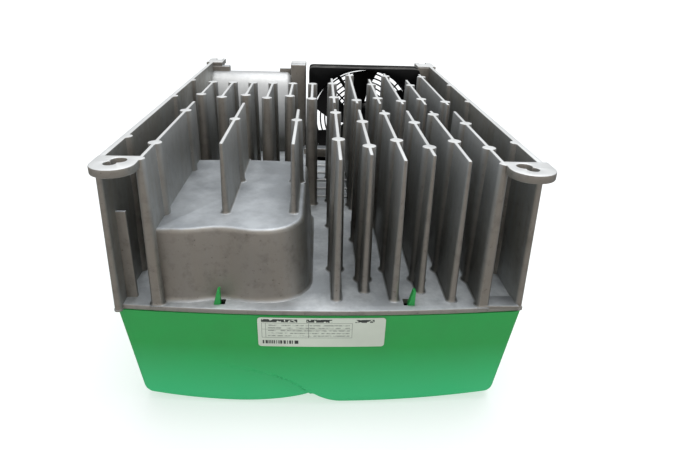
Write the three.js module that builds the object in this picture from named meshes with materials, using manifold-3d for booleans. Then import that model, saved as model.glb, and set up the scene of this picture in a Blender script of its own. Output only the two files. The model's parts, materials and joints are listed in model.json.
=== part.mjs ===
// Variable frequency drive, 15 kW class, lying on its front cover with the heatsink fins up.
// Millimetres. +Z runs from the front cover to the mounting face, +Y towards the fan and terminal end.
// The origin is on the surface that the drive lies on, under the middle of its bounding box.
import * as THREE from "three";
import { mergeVertices } from "three/addons/utils/BufferGeometryUtils.js";
import Module from "manifold-3d";

const wasm = await Module();
wasm.setup();

// ---- Driving dimensions ----
const plateTop = 78; // top of the heatsink base plate
const plateBottom = 74.5; // its underside, where the power modules bolt on
const mountingFace = 170.2; // backs of the feet and tips of the fins
const nearEnd = -180.8; // near edge of the plate, on the centre line
const farEnd = 167; // far edge of the plate and the rails
const plateHalf = 125; // half the width over the rails, at the plate
const edgeBow = 7; // how far the near edge bows out over its half width
const finPitch = 18.1;
const railTop = 122.8; // half the width over the rails, at the mounting face
const railThick = { foot: 4.5, top: 3.6 };
const railNear = { left: -178, right: -174 }; // where the rails start
const wall = 3; // casting wall
const rooted = plateTop - 1; // where whatever stands on the plate starts, a little inside it

const finHalf = { foot: 2.6, tip: 1.1 }; // half the thickness of a fin at its foot and at its tip
const column = { foot: 5.2, tip: 4.2, sides: 8 }; // the round columns that ejector pins pushed on
const nearRows = {
  forward: { span: [-170, -48.6], columns: [-129, -59] },
  back: { span: [-160.2, -48.6], columns: [-142.2, -84] },
  outerRight: { span: [-175.2, -48.6], columns: [-142.2, -84] },
  outerLeft: { span: [-175.2, -31], columns: [-142.2, -60.5] },
};
const farRows = { right: { near: -27, short: 80, long: 114 }, left: { near: -17, late: -8, far: 54 } };
const fanNotch = { left: -16, right: 108, near: 108 }; // the opening in the plate over the fan well
const fanBar = { near: 130, top: 84 }; // the bar across the plate in front of the fan

const housingTop = 124.7; // roof of the capacitor housing
const housing = {
  left: -100.8, right: -11.6, front: -166.5, rear: -35.5, // at the roof
  flare: 3.5, // how much wider it is at the plate
  corner: 25, rearCorner: 14,
  valley: { x: -62, half: 22, depth: 4 }, // the dip between the two lobes of its near wall
  bulge: { x: -61, depth: 2.5 },
};
const housingFins = [
  { x: -61, span: [-143, -33] },
  { x: -18.4, span: [-141.7, -51.2] },
];
const housingFinColumn = -83;
const chokeHousing = { left: -122.5, right: -34.5, near: 138, top: 161.5, shoulder: [29, 45] };
const railColumns = { x: 120.7, clip: 121.5, along: [-130, -12, 58] };
const pillarPlace = { x: 108, y: 96 }; // the two pillars that the cover screws go into

const coverHalf = 126; // half the width of the front cover at the plate
const coverDraft = { side: 8.5, near: 6, far: 4 }; // how far each wall leans in at the front
const coverWall = 2.6;
const coverCorner = 7;

const fan = { x: 46, z: 110, size: 120, near: 144, far: 169, bore: 57.5, screw: 52.5 };
const bladeCount = 6;
const blade = { root: 17, tip: 55.5, thick: 1.6, lead: -14, sweep: 16, halfTurn: 20, taper: 5.5, pitch: 7 };
const trough = { left: -19, right: 111, near: 105, far: 172, floor: 45 };

const powerBoard = { half: 112, near: -160, far: 90, z: 55.6, thick: 1.6 };
const controlBoard = { half: 95, near: -150, far: 60, z: 30, thick: 1.6 };
const capacitor = { radius: 18.2, low: 57.5, high: 118.5 };
const keypad = { half: 44, near: -110, far: -10, face: 1.5, seat: 10 };
const buttonTravel = 1;
const terminalLid = {
  half: 100, near: 34, face: 2, thick: 2.5,
  pivotY: 152, pivotZ: 7.5, barrel: 5.5,
  gap: 0.8, // clearance round the lid in its window
};
const glandPlate = { half: 90, low: 14, high: 42, near: 158.6, far: 160.6 };
const gap = 0.3; // clearance where neighbours are not flush on a flat face
const footThickness = 4.7;
const footTip = 193.3; // how far the left near foot and the far feet reach from the middle
const nearSlot = [[109.5, -176.2, 4.2], [112.5, -181.5, 3.3]]; // x, y and radius at each end of a foot's slot
const farSlot = [[116, 187.5, 3.4], [116, 197, 3.4]]; // runs out through the tip
const farTipRound = 5;
const hookHoles = [{ x: -66.3, hook: [-66, -62] }, { x: 50.6, hook: [53.2, 57.3] }];
const hookTipWide = 1.5;
const lobes = { left: -56, step: -5, right: 14, edge: 117, stepHeight: 7, edgeHeight: 5.5 };
const lidPin = { radius: 2, hole: 2.6, length: 4 };
const screwTubes = { tube: 6.2, hole: 2.3, head: 4.4, seat: 19 }; // radii, and the height of the head's seat
const everywhere = { x: [-130, 130], y: [-190, 180] }; // past the cover and the rails on every side
const button = { radius: 7, collar: 8.6, low: 1, collarLow: 4.4, collarHigh: 6, high: 7.4 };
const display = { half: 32, near: -100, far: -72 };
const keypadBoard = { z: 12, thick: 1.6, half: 42, near: -108, far: -12 };
const standoffPlaces = [[-106, -152], [106, -152], [106, 84], [-106, 84]];
const spacerPlaces = [[-88, -143], [88, -143], [88, 53], [-88, 53]];
const choke = { x: -79, y: 152.5, half: 35, limb: 9, window: 14, base: plateBottom, top: 131, depth: 6.5 };
const powerTerminals = { half: 70, near: 64, far: 88, low: 34, poles: 8 };
const controlTerminals = { left: -50, near: 42, far: 58, deep: 12, poles: 11, pitch: 7.62 };
const grommets = [
  { name: "supply_cable_grommet", x: -62, radius: 9 },
  { name: "motor_cable_grommet", x: -22, radius: 9 },
  { name: "brake_cable_grommet", x: 18, radius: 9 },
  { name: "control_cable_grommet", x: 56, radius: 7 },
];
const label = { half: 39.2, low: 51, high: 73.5, off: 0.3, thick: 0.4 };
const buttons = [
  { name: "mode_button", x: -27, y: -56, material: "grey" },
  { name: "up_button", x: 0, y: -56, material: "grey" },
  { name: "down_button", x: 0, y: -34, material: "grey" },
  { name: "stop_reset_button", x: -27, y: -34, material: "red" },
  { name: "start_button", x: 27, y: -34, material: "green" },
];

// ---- Finishes ----
function finish(color, roughness, metalness) {
  return new THREE.MeshStandardMaterial({ color, roughness, metalness });
}

const finishes = {
  casting: finish(0x9a9c9c, 0.45, 0.85),
  green: finish(0x2e9140, 0.5, 0),
  dark: finish(0x35383b, 0.6, 0),
  black: finish(0x19191c, 0.45, 0),
  label: finish(0xd9d8cd, 0.5, 0),
  window: finish(0x301012, 0.15, 0),
  grey: finish(0xb9bcbd, 0.55, 0),
  red: finish(0xb4231f, 0.5, 0),
  board: finish(0x1f5a34, 0.5, 0),
  sleeve: finish(0x1f2f57, 0.4, 0),
  module: finish(0x2b2b2e, 0.6, 0),
  lamination: finish(0x55565a, 0.55, 0.7),
  copper: finish(0xb4713c, 0.35, 0.9),
  steel: finish(0xc4c6c8, 0.35, 0.95),
  brass: finish(0xc3a455, 0.35, 0.95),
  rubber: finish(0x1c1c1c, 0.85, 0),
};

// ---- Solids ----
function solid(geometry) {
  const bare = geometry.index ? geometry.toNonIndexed() : geometry.clone();
  bare.deleteAttribute("normal");
  bare.deleteAttribute("uv");
  const merged = mergeVertices(bare, 1e-4);
  const vertProperties = merged.attributes.position.array;
  const triVerts = new Uint32Array(merged.index.array);
  return new wasm.Manifold(new wasm.Mesh({ numProp: 3, vertProperties, triVerts }));
}

const join = (solids) => solids.reduce((all, next) => all.add(next));
const cut = (body, tools) => tools.reduce((left, tool) => left.subtract(tool), body);

// A box from its low and high value on each axis.
function block([x0, x1], [y0, y1], [z0, z1]) {
  const geometry = new THREE.BoxGeometry(x1 - x0, y1 - y0, z1 - z0);
  geometry.translate((x0 + x1) / 2, (y0 + y1) / 2, (z0 + z1) / 2);
  return solid(geometry);
}

// Where an extrusion's own x, y and depth point, for each axis that it can run along.
const extrusionFrames = {
  x: [new THREE.Vector3(0, 1, 0), new THREE.Vector3(0, 0, 1), new THREE.Vector3(1, 0, 0)],
  y: [new THREE.Vector3(0, 0, 1), new THREE.Vector3(1, 0, 0), new THREE.Vector3(0, 1, 0)],
  z: [new THREE.Vector3(1, 0, 0), new THREE.Vector3(0, 1, 0), new THREE.Vector3(0, 0, 1)],
};

// A shape extruded along an axis. Its points are (y, z) along x, (z, x) along y and (x, y) along z.
function extrude(shape, axis, [low, high], curveSegments = 12) {
  const settings = { depth: high - low, bevelEnabled: false, curveSegments };
  const geometry = new THREE.ExtrudeGeometry(shape, settings);
  geometry.translate(0, 0, low);
  geometry.applyMatrix4(new THREE.Matrix4().makeBasis(...extrusionFrames[axis]));
  return solid(geometry);
}

const polygon = (points) => new THREE.Shape(points.map(([a, b]) => new THREE.Vector2(a, b)));

// A prism whose section is given as (x, z) points, extruded along y.
const prismAlongY = (points, span) => extrude(polygon(points.map(([x, z]) => [z, x])), "y", span);

// A round rod along an axis, through a point.
function rod(axis, [x, y, z], radius, [low, high], sides = 16) {
  const geometry = new THREE.CylinderGeometry(radius, radius, high - low, sides);
  if (axis === "x") geometry.rotateZ(Math.PI / 2);
  if (axis === "z") geometry.rotateX(Math.PI / 2);
  const middle = (low + high) / 2;
  const centre = { x: [middle, y, z], y: [x, middle, z], z: [x, y, middle] }[axis];
  geometry.translate(...centre);
  return solid(geometry);
}

// A body through closed outlines of equal point count, one above the other, capped at both ends.
function loft(outlines) {
  const count = outlines[0].length;
  const position = outlines.flat().flatMap((point) => [point.x, point.y, point.z]);
  const index = [];
  for (let level = 0; level + 1 < outlines.length; level++) {
    for (let i = 0; i < count; i++) {
      const a = level * count + i;
      const b = level * count + ((i + 1) % count);
      index.push(a, b, b + count, a, b + count, a + count);
    }
  }
  const top = (outlines.length - 1) * count;
  const flat = (outline) => outline.map((p) => new THREE.Vector2(p.x, p.y));
  const cap = (outline) => THREE.ShapeUtils.triangulateShape(flat(outline), []);
  for (const [a, b, c] of cap(outlines[0])) index.push(a, c, b);
  for (const [a, b, c] of cap(outlines[outlines.length - 1])) index.push(top + a, top + b, top + c);
  const geometry = new THREE.BufferGeometry();
  geometry.setAttribute("position", new THREE.BufferAttribute(new Float32Array(position), 3));
  geometry.setIndex(index);
  return solid(geometry);
}

// A body of revolution about z from a profile of (radius, height) points.
function turned(profile, sides) {
  const points = profile.map(([r, z]) => new THREE.Vector2(r, z));
  return solid(new THREE.LatheGeometry(points, sides).rotateX(Math.PI / 2));
}

function geometryOf(body) {
  const made = body.getMesh();
  const geometry = new THREE.BufferGeometry();
  geometry.setAttribute("position", new THREE.BufferAttribute(new Float32Array(made.vertProperties), 3));
  geometry.setIndex(new THREE.BufferAttribute(new Uint32Array(made.triVerts), 1));
  return geometry;
}

// A copy of a solid turned about an axis through the origin, then moved.
function placed(body, axis, degrees, offset = [0, 0, 0]) {
  const geometry = geometryOf(body);
  const direction = new THREE.Vector3(axis === "x" ? 1 : 0, axis === "y" ? 1 : 0, axis === "z" ? 1 : 0);
  geometry.applyMatrix4(new THREE.Matrix4().makeRotationAxis(direction, THREE.MathUtils.degToRad(degrees)));
  geometry.translate(...offset);
  return solid(geometry);
}

const drive = new THREE.Group();

// One named node of the drive; a solid made round its own origin is given its place and its turn about x.
function addNode(name, body, finishName, place = [0, 0, 0], turn = 0) {
  const geometry = geometryOf(body);
  geometry.computeVertexNormals();
  const mesh = new THREE.Mesh(geometry, finishes[finishName]);
  mesh.name = name;
  mesh.position.set(...place);
  mesh.rotation.x = turn;
  drive.add(mesh);
}

// ---- Heatsink casting ----
const plateEdge = (x) => nearEnd + edgeBow * (x / plateHalf) ** 2;

function basePlate() {
  const steps = 12;
  const nearEdge = Array.from({ length: steps + 1 }, (_, i) => {
    const x = plateHalf * ((2 * i) / steps - 1);
    return [x, plateEdge(x)];
  });
  const { left, right, near } = fanNotch;
  const notch = [[right, farEnd], [right, near], [left, near], [left, farEnd]];
  const outline = polygon([...nearEdge, [plateHalf, farEnd], ...notch, [-plateHalf, farEnd]]);
  return extrude(outline, "z", [plateBottom, plateTop]);
}

// The well under the fan, with its floor and three walls, and the bar across the plate in front of the fan.
function fanTrough() {
  const { left, right, near, far, floor } = trough;
  const outer = block([left, right], [near, far], [floor, plateTop - 1]);
  const well = block([left + wall, right - wall], [near + wall, far + 1], [floor + wall, plateTop + 1]);
  const bar = block([left, right], [fanBar.near, fan.near], [plateBottom, fanBar.top]);
  const lip = (x) => block([x, x + 4], [fan.far + gap, far], [floor + 1, 70]);
  return join([cut(outer, [well]), bar, lip(left + wall - 1), lip(right - wall - 3)]);
}

// A tapered round column from low up to the mounting face.
function taperedColumn(x, y, low) {
  const geometry = new THREE.CylinderGeometry(column.tip, column.foot, mountingFace - low, column.sides);
  geometry.rotateX(Math.PI / 2);
  geometry.translate(x, y, (low + mountingFace) / 2);
  return solid(geometry);
}

// A fin along y at x, standing on base, with the columns that ejector pins pushed on.
function fin(x, { span, columns = [] }, base = plateTop) {
  const low = base - 1;
  const { foot: wide, tip } = finHalf;
  const section = [[x - wide, low], [x + wide, low], [x + tip, mountingFace], [x - tip, mountingFace]];
  return join([prismAlongY(section, span), ...columns.map((y) => taperedColumn(x, y, low))]);
}

// The fins stand half a pitch to each side of the centre line and then a pitch apart.
const finX = (number) => (number + 0.5) * finPitch;
const finCount = 6; // on each side of the centre line

function nearFins() {
  const { forward, back, outerRight, outerLeft } = nearRows;
  const rows = Array.from({ length: finCount - 1 }, (_, i) => fin(finX(i), i % 2 === 0 ? forward : back));
  return [...rows, fin(finX(finCount - 1), outerRight), fin(-finX(finCount - 1), outerLeft)];
}

// On both sides the fins take turns: long and short on the right, starting early and late on the left.
function farFins() {
  const { right, left } = farRows;
  return Array.from({ length: finCount }, (_, i) => {
    const odd = i % 2 === 1;
    return join([
      fin(finX(i), { span: [right.near, odd ? right.long : right.short] }),
      fin(-finX(i), { span: [odd ? left.late : left.near, left.far] }),
    ]);
  });
}

// Outline of the capacitor housing, two lobes at the near end; grow widens it towards the plate.
function housingOutline(grow, z) {
  const { left, corner, rearCorner, valley, bulge } = housing;
  const right = housing.right + grow;
  const rear = housing.rear + grow;
  const outOfValley = (x) => Math.min(1, Math.abs(x - valley.x) / valley.half);
  const dip = (x) => valley.depth * Math.cos(outOfValley(x) * (Math.PI / 2)) ** 2;
  const front = (x) => housing.front - grow + dip(x);
  const points = [];
  const frontSteps = 12;
  for (let i = 0; i <= frontSteps; i++) {
    const x = left + ((right - corner - left) * i) / frontSteps;
    points.push([x, front(x)]);
  }
  const cornerSteps = 6;
  for (let i = 1; i <= cornerSteps; i++) {
    const turn = (i / cornerSteps) * (Math.PI / 2);
    const y = front(right - corner) + corner;
    points.push([right - corner + corner * Math.sin(turn), y - corner * Math.cos(turn)]);
  }
  const rearSteps = 4;
  for (let i = 0; i <= rearSteps; i++) {
    const turn = (i / rearSteps) * (Math.PI / 2);
    points.push([right + rearCorner * (Math.cos(turn) - 1), rear + rearCorner * (Math.sin(turn) - 1)]);
  }
  points.push([bulge.x, rear + bulge.depth], [left, rear]);
  return points.map(([x, y]) => new THREE.Vector3(x, y, z));
}

function capacitorHousing() {
  const outer = loft([housingOutline(housing.flare, plateBottom), housingOutline(0, housingTop)]);
  const onRoof = housingFins.map(({ x, span }) => fin(x, { span, columns: [housingFinColumn] }, housingTop));
  return join([outer, ...onRoof]);
}

// The room for the capacitors: the housing's outline drawn in towards its middle by about a wall all round.
function capacitorCavity() {
  const { left, right, front, rear } = housing;
  const middle = { x: (left + right) / 2, y: (front + rear) / 2 };
  const scale = { x: 1 - (2 * wall) / (right - left), y: 1 - (2 * wall) / (rear - front) };
  const shrink = (outline) => outline.map((p) => new THREE.Vector3(
    middle.x + (p.x - middle.x) * scale.x, middle.y + (p.y - middle.y) * scale.y, p.z));
  return loft([
    shrink(housingOutline(housing.flare, plateBottom - 1)),
    shrink(housingOutline(0, housingTop - wall)),
  ]);
}

// The housing over the choke, with a rounded shoulder towards the fins.
function chokeHousingOuter() {
  const { left, right, near, top, shoulder: [reach, drop] } = chokeHousing;
  const steps = 9;
  const shoulder = Array.from({ length: steps + 1 }, (_, i) => {
    const turn = (i / steps) * (Math.PI / 2);
    return [near + reach * (1 - Math.cos(turn)), top + drop * (Math.sin(turn) - 1)];
  });
  const side = [[farEnd, rooted], [near, rooted], ...shoulder];
  return extrude(polygon(side.reverse()), "x", [left, right]);
}

function chokeCavity() {
  const { left, right, near, top } = chokeHousing;
  const roof = 28; // thick enough that the flat ceiling stays under the shoulder
  return block([left + wall, right - wall], [near + wall, farEnd - wall], [plateBottom - 1, top - roof]);
}

// A side rail: it leans in towards the top, and half-round columns stand against its inner face.
function rail(side) {
  const outer = [side * plateHalf, side * railTop];
  const inner = [side * (plateHalf - railThick.foot), side * (railTop - railThick.top)];
  const section = [
    [inner[0], rooted], [outer[0], rooted],
    [outer[1], mountingFace], [inner[1], mountingFace],
  ];
  const near = side > 0 ? railNear.right : railNear.left;
  const body = prismAlongY(side > 0 ? section : section.reverse(), [near, farEnd]);
  const within = [side * (railColumns.x - 2 * column.foot), side * railColumns.clip].sort((a, b) => a - b);
  const halfRound = (y) => taperedColumn(side * railColumns.x, y, rooted)
    .intersect(block(within, everywhere.y, [0, mountingFace]));
  return join([body, ...railColumns.along.map(halfRound)]);
}

// A mounting foot with a slot for its screw; its tip is half round unless a corner radius is given.
function foot(side, backY, tipY, [inner, outer], slot, radius = (outer - inner) / 2) {
  const towardsTip = Math.sign(tipY - backY);
  const points = [[inner, backY], [outer, backY]];
  const steps = 5;
  [outer - radius, inner + radius].forEach((x, quarter) => {
    for (let i = 0; i <= steps; i++) {
      const turn = ((quarter + i / steps) * Math.PI) / 2;
      points.push([x + radius * Math.cos(turn), tipY + towardsTip * radius * (Math.sin(turn) - 1)]);
    }
  });
  const outline = polygon(points.map(([x, y]) => [side * x, y]));
  const slab = extrude(outline, "z", [mountingFace - footThickness, mountingFace]);
  const through = [mountingFace - footThickness - 1, mountingFace + 1];
  const ends = slot.map(([x, y, radius]) => rod("z", [side * x, y, 0], radius, through));
  const [a, b] = slot;
  const run = new THREE.Vector2(side * (b[0] - a[0]), b[1] - a[1]);
  const across = new THREE.Vector2(-run.y, run.x).normalize().multiplyScalar(Math.min(a[2], b[2]));
  const corners = [[a, 1], [b, 1], [b, -1], [a, -1]]
    .map(([p, way]) => [side * p[0] + way * across.x, p[1] + way * across.y]);
  const middleCut = extrude(polygon(corners), "z", through);
  return cut(slab, [...ends, middleCut]);
}

function feet() {
  return [
    foot(-1, -168.5, -footTip, [99, 123.2], nearSlot),
    foot(1, -168.5, -192.5, [99.9, 125.4], nearSlot),
    foot(-1, 164, footTip, [109.5, 126.5], farSlot, farTipRound),
    foot(1, 164, footTip, [106.5, 126.5], farSlot, farTipRound),
  ];
}

// Walls, posts and webs that close the far end and carry its feet.
function farEndWalls() {
  const high = mountingFace - 4;
  const web = polygon([[farEnd - 1, 118], [188, high], [farEnd - 1, high]]);
  const gusset = (x) => extrude(web, "x", [x - 1.5, x + 1.5]);
  const postX = [-34.2, -17.7];
  const rightWall = block([106.5, 123], [163, farEnd], [rooted, mountingFace - 1]);
  const leftBlock = block([-124, -101.5], [163, farEnd + 5], [rooted, high]);
  const post = block(postX, [160, 175], [plateBottom, mountingFace]);
  const postHead = block(postX, [174, 186], [mountingFace - footThickness, mountingFace]);
  const ledge = block([-46.5, -34], [164, farEnd], [158, 165]);
  return [rightWall, leftBlock, post, postHead, ledge, gusset(110.5), gusset(-112)];
}

// Ribs and pads on the plate, and the pillars under it that the cover screws go into.
function plateDetails() {
  const low = 24;
  const pillars = [-pillarPlace.x, pillarPlace.x].map((x) => {
    const at = [x, pillarPlace.y, 0];
    return cut(rod("z", at, 4.5, [low, rooted], 12), [rod("z", at, 1.6, [low - 1, low + 12], 8)]);
  });
  const railRib = block([-121.8, -114], [-166, -163.5], [rooted, 135.5]);
  const raisedStep = block([100, 122], [-176, -164], [rooted, plateTop + 1.2]);
  const crossRibs = [1, 21, 43, 65, 87].map((y) => block([-8, 98], [y, y + 2.5], [rooted, plateTop + 1.8]));
  return [railRib, raisedStep, ...crossRibs, ...pillars];
}

function heatsinkCasting() {
  const parts = [
    basePlate(), fanTrough(), ...nearFins(), ...farFins(), capacitorHousing(), chokeHousingOuter(),
    rail(-1), rail(1), ...feet(), ...farEndWalls(), ...plateDetails(),
  ];
  const through = [plateBottom - 1, plateTop + 4];
  const holes = hookHoles.map(({ x }) => block([x, x + 7], [-173.8, -166.3], through));
  return cut(join(parts), [capacitorCavity(), chokeCavity(), ...holes]);
}

// ---- Front cover ----
// The cover's near face: y for a place across and a height.
function coverNearFace(x, z) {
  return nearEnd - 0.5 + coverDraft.near * (1 - z / plateBottom) + edgeBow * (x / coverHalf) ** 2;
}

// Plan outline of the cover at a height, shrunk by inset: bowed near edge, straight sides, round corners.
function coverOutline(z, inset = 0) {
  const lean = 1 - z / plateBottom;
  const half = coverHalf - coverDraft.side * lean - inset;
  const radius = coverCorner - inset;
  const near = (x) => coverNearFace(x, z) + inset;
  const far = farEnd - coverDraft.far * lean - inset;
  const points = [];
  const steps = 14;
  for (let i = 0; i <= steps; i++) {
    const x = (half - radius) * ((2 * i) / steps - 1);
    points.push([x, near(x)]);
  }
  const cornerY = near(half - radius) + radius;
  const side = half - radius;
  const centres = [[side, cornerY], [side, far - radius], [-side, far - radius], [-side, cornerY]];
  centres.forEach(([x, y], quarter) => {
    for (let i = quarter === 0 ? 1 : 0; i <= (quarter === 3 ? 2 : 3); i++) {
      const turn = (quarter - 1 + i / 3) * (Math.PI / 2);
      points.push([x + radius * Math.cos(turn), y + radius * Math.sin(turn)]);
    }
  });
  return points.map(([x, y]) => new THREE.Vector3(x, y, z));
}

// Height of the cover's front face over the surface it lies on: two low domes and a step between them.
function faceHeight(x) {
  const { left, step, right, edge, stepHeight, edgeHeight } = lobes;
  if (x < left) return edgeHeight * ((x - left) / (-edge - left)) ** 2;
  if (x < step) return stepHeight * ((x - left) / (step - left)) ** 2;
  if (x < right) return stepHeight * ((right - x) / (right - step)) ** 2;
  return edgeHeight * ((x - right) / (edge - right)) ** 2;
}

// Everything above the front face raised by lift.
function aboveFace(lift) {
  const [x0, x1] = everywhere.x;
  const top = plateBottom + 2;
  const { left, step, right } = lobes;
  const stations = [x0, -92, -74, left, -38, -22, -12, step, -1, 3, 8, right, 40, 66, 92, x1];
  const face = stations.map((x) => [x, faceHeight(x) + lift]);
  return prismAlongY([...face, [x1, top], [x0, top]], everywhere.y);
}

function coverShell() {
  const outer = loft([coverOutline(0), coverOutline(plateBottom)]).intersect(aboveFace(0));
  const inner = loft([coverOutline(-1, coverWall), coverOutline(plateBottom + 1, coverWall)]);
  return cut(outer, [inner.intersect(aboveFace(coverWall))]);
}

// A hook that rises from the near wall through its hole in the plate and catches over the edge.
function snapHook([x0, x1]) {
  const side = [[-177.2, 58], [-172.5, 58], [-169.5, 72], [-169.5, 87], [-171.5, 88], [-174.6, 82],
    [-174.6, 78.3], [-173.5, 78.3], [-173.5, 74.2], [-177.2, 74.2]];
  const wedge = [[x0, 57], [x1, 57], [x1, 89], [x1 - hookTipWide, 89], [x0, plateTop]];
  return extrude(polygon(side), "x", [x0, x1]).intersect(prismAlongY(wedge, everywhere.y));
}

// A tube for a cover screw, from the front face to the end of the casting's pillar.
function screwTube(x) {
  const at = [x, pillarPlace.y, 0];
  const { tube, hole, head, seat } = screwTubes;
  const tools = [rod("z", at, hole, [0, 30], 12), rod("z", at, head, [0, seat])];
  return cut(rod("z", at, tube, [5.5, 23.6]), tools);
}

// The ear on each side that holds an end of the terminal cover's hinge pin.
function lidLug(side) {
  const { half, gap: clearance, pivotY, pivotZ } = terminalLid;
  const x = [side * (half + clearance), side * (half + clearance + 5)].sort((a, b) => a - b);
  return block(x, [pivotY - 5, pivotY + 5], [4.6, pivotZ + 5]);
}

function frontCover() {
  const lid = terminalLid;
  const rim = 5; // the frame round the keypad
  const rimY = [keypad.near - rim, keypad.far + rim];
  const keypadFrame = block([-keypad.half - rim, keypad.half + rim], rimY, [1, keypad.seat]);
  const screwX = [-pillarPlace.x, pillarPlace.x];
  const body = join([
    coverShell(), keypadFrame.intersect(aboveFace(1)), ...screwX.map(screwTube), lidLug(-1), lidLug(1),
    ...hookHoles.map(({ hook }) => snapHook(hook)),
  ]);
  const farWall = [150, 172];
  const pinReach = lid.half + lid.gap + lidPin.length + 0.4;
  const lidWindow = block([-lid.half - lid.gap, lid.half + lid.gap],
    [lid.near - lid.gap, lid.pivotY + lid.barrel + lid.gap], [-1, lid.pivotZ + 3]);
  return cut(body, [
    block([-keypad.half, keypad.half], [keypad.near, keypad.far], [-1, keypad.seat + 4]),
    lidWindow,
    ...screwX.map((x) => rod("z", [x, pillarPlace.y, 0], screwTubes.head, [-1, 8])),
    rod("x", [0, lid.pivotY, lid.pivotZ], lidPin.hole, [-pinReach, pinReach]),
    block([trough.left - 2 * gap, trough.right + 2 * gap], farWall,
      [trough.floor - 2 * gap, plateBottom + 1]),
    block([rim - glandPlate.half, glandPlate.half - rim], farWall,
      [glandPlate.low + rim / 2, glandPlate.high - rim / 2]),
  ]);
}

// A thin label bent to the cover's near face, standing just off it.
function ratingLabel() {
  const { half, low, high, off, thick } = label;
  const ring = (z) => {
    const along = Array.from({ length: 9 }, (_, i) => half * (i / 4 - 1));
    const outer = along.map((x) => new THREE.Vector3(x, coverNearFace(x, z) - off - thick, z));
    const inner = along.map((x) => new THREE.Vector3(x, coverNearFace(x, z) - off, z)).reverse();
    return [...outer, ...inner];
  };
  return loft([ring(low), ring(high)]);
}

// ---- Keypad and display ----

function keypadBezel() {
  const { half, near, far, face, seat } = keypad;
  const body = block([0.4 - half, half - 0.4], [near + 0.4, far - 0.4], [face, seat + 1.5]);
  const flange = block([-half - 3, half + 3], [near - 3, far + 3], [seat, seat + 1.5]);
  const inside = block([2.4 - half, half - 2.4], [near + 2.4, far - 2.4], [face + 2.5, seat + 3]);
  const { half: w, near: d0, far: d1 } = display;
  const opening = block([-w, w], [d0, d1], [0, 5]);
  const holes = buttons.map(({ x, y }) => rod("z", [x, y, 0], button.radius + 0.5, [0, 5], 16));
  return cut(join([body, flange]), [inside, opening, ...holes]);
}

function buttonBody() {
  const { radius, collar, low, collarLow, collarHigh, high } = button;
  const stem = 2.5;
  const profile = [
    [0, low], [radius - 0.8, low], [radius, low + 0.8], [radius, collarLow], [collar, collarLow],
    [collar, collarHigh], [stem, collarHigh], [stem, high], [0, high],
  ];
  return turned(profile, 16);
}

// The keypad's board with a dome switch over each button and the socket for its lead.
function keypadBoardBody() {
  const { z, thick, half, near, far } = keypadBoard;
  const board = block([-half, half], [near, far], [z, z + thick]);
  const base = button.high + buttonTravel + gap;
  const switches = buttons.map(({ x, y }) => block([x - 3, x + 3], [y - 3, y + 3], [base, z + 0.5]));
  const socket = block([22, 38], [-64, -58], [z + 1, z + 8]);
  return join([board, ...switches, socket]);
}

// ---- Electronics ----
function powerBoardBody() {
  const { half, near, far, z, thick } = powerBoard;
  const board = block([-half, half], [near, far], [z, z + thick]);
  const corner = (x, y) => rod("z", [x, y, 0], 1.8, [z - 1, z + thick + 1], 10);
  return cut(board, standoffPlaces.map(([x, y]) => corner(x, y)));
}

// A hexagonal pillar with a screwed stub through the board below it.
function standoff(low, high, stub) {
  const hexagon = rod("z", [0, 0, 0], 3.4, [low, high], 6);
  return join([hexagon, rod("z", [0, 0, 0], 1.4, [low - stub, low + 1], 8)]);
}

function controlBoardBody() {
  const { half, near, far, z, thick } = controlBoard;
  const board = block([-half, half], [near, far], [z, z + thick]);
  const chips = [[-30, -90, 24], [24, -100, 14], [52, -40, 10], [-64, -20, 12], [10, 10, 10]];
  const chip = ([x, y, size]) => block([x - size / 2, x + size / 2], [y - size / 2, y + size / 2],
    [z + thick - 0.5, z + thick + 2]);
  const packages = chips.map(chip);
  const holes = spacerPlaces.map(([x, y]) => rod("z", [x, y, 0], 1.8, [z - 1, z + thick + 1], 10));
  return cut(join([board, ...packages]), holes);
}

// A power module: a moulded body with a step for its terminals.
function powerModule(width, length) {
  const high = plateBottom - (powerBoard.z + powerBoard.thick + gap);
  const body = block([-width / 2, width / 2], [-length / 2, length / 2], [-high, 0]);
  const ears = [-1, 1].map((end) => rod("z", [0, end * (length / 2 - 5), 0], 3, [-high - 1, -5], 12));
  return cut(body, ears);
}

function capacitorBody() {
  const { radius, low, high } = capacitor;
  const profile = [[0, low], [radius, low], [radius, high - 1], [radius - 1.4, high], [0, high]];
  return turned(profile, 18);
}

// The choke's laminated core: a frame with a middle limb.
function chokeCore() {
  const { x, y, half, limb, window, base, top, depth } = choke;
  const frame = block([x - half, x + half], [y - depth, y + depth], [base, top]);
  const openings = [-1, 1].map((side) => {
    const span = [x + side * limb, x + side * (limb + window)].sort((a, b) => a - b);
    return block(span, [y - depth - 1, y + depth + 1], [base + 12, top - 12]);
  });
  return cut(frame, openings);
}

function chokeWinding() {
  const { x, y, limb, base, top, depth } = choke;
  const z = [base + 13, top - 13];
  const outer = block([x - limb - 12, x + limb + 12], [y - 10.6, y + 10.6], z);
  const inner = block([x - limb - gap, x + limb + gap], [y - depth - gap, y + depth + gap],
    [z[0] - 1, z[1] + 1]);
  return cut(outer, [inner]);
}

// ---- Terminals ----

function powerTerminalBlock() {
  const { half, near, far, low, poles } = powerTerminals;
  const pitch = (2 * half) / poles;
  const body = block([-half, half], [near, far], [low, powerBoard.z]);
  const cuts = [];
  for (let i = 0; i < poles; i++) {
    const x = -half + pitch * (i + 0.5);
    cuts.push(rod("z", [x, (near + far) / 2 - 2, 0], 4.5, [low - 1, low + 3.5], 10));
    cuts.push(block([x - 6, x + 6], [far - 14, far + 1], [low + 7, low + 18]));
  }
  return cut(body, cuts);
}

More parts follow.
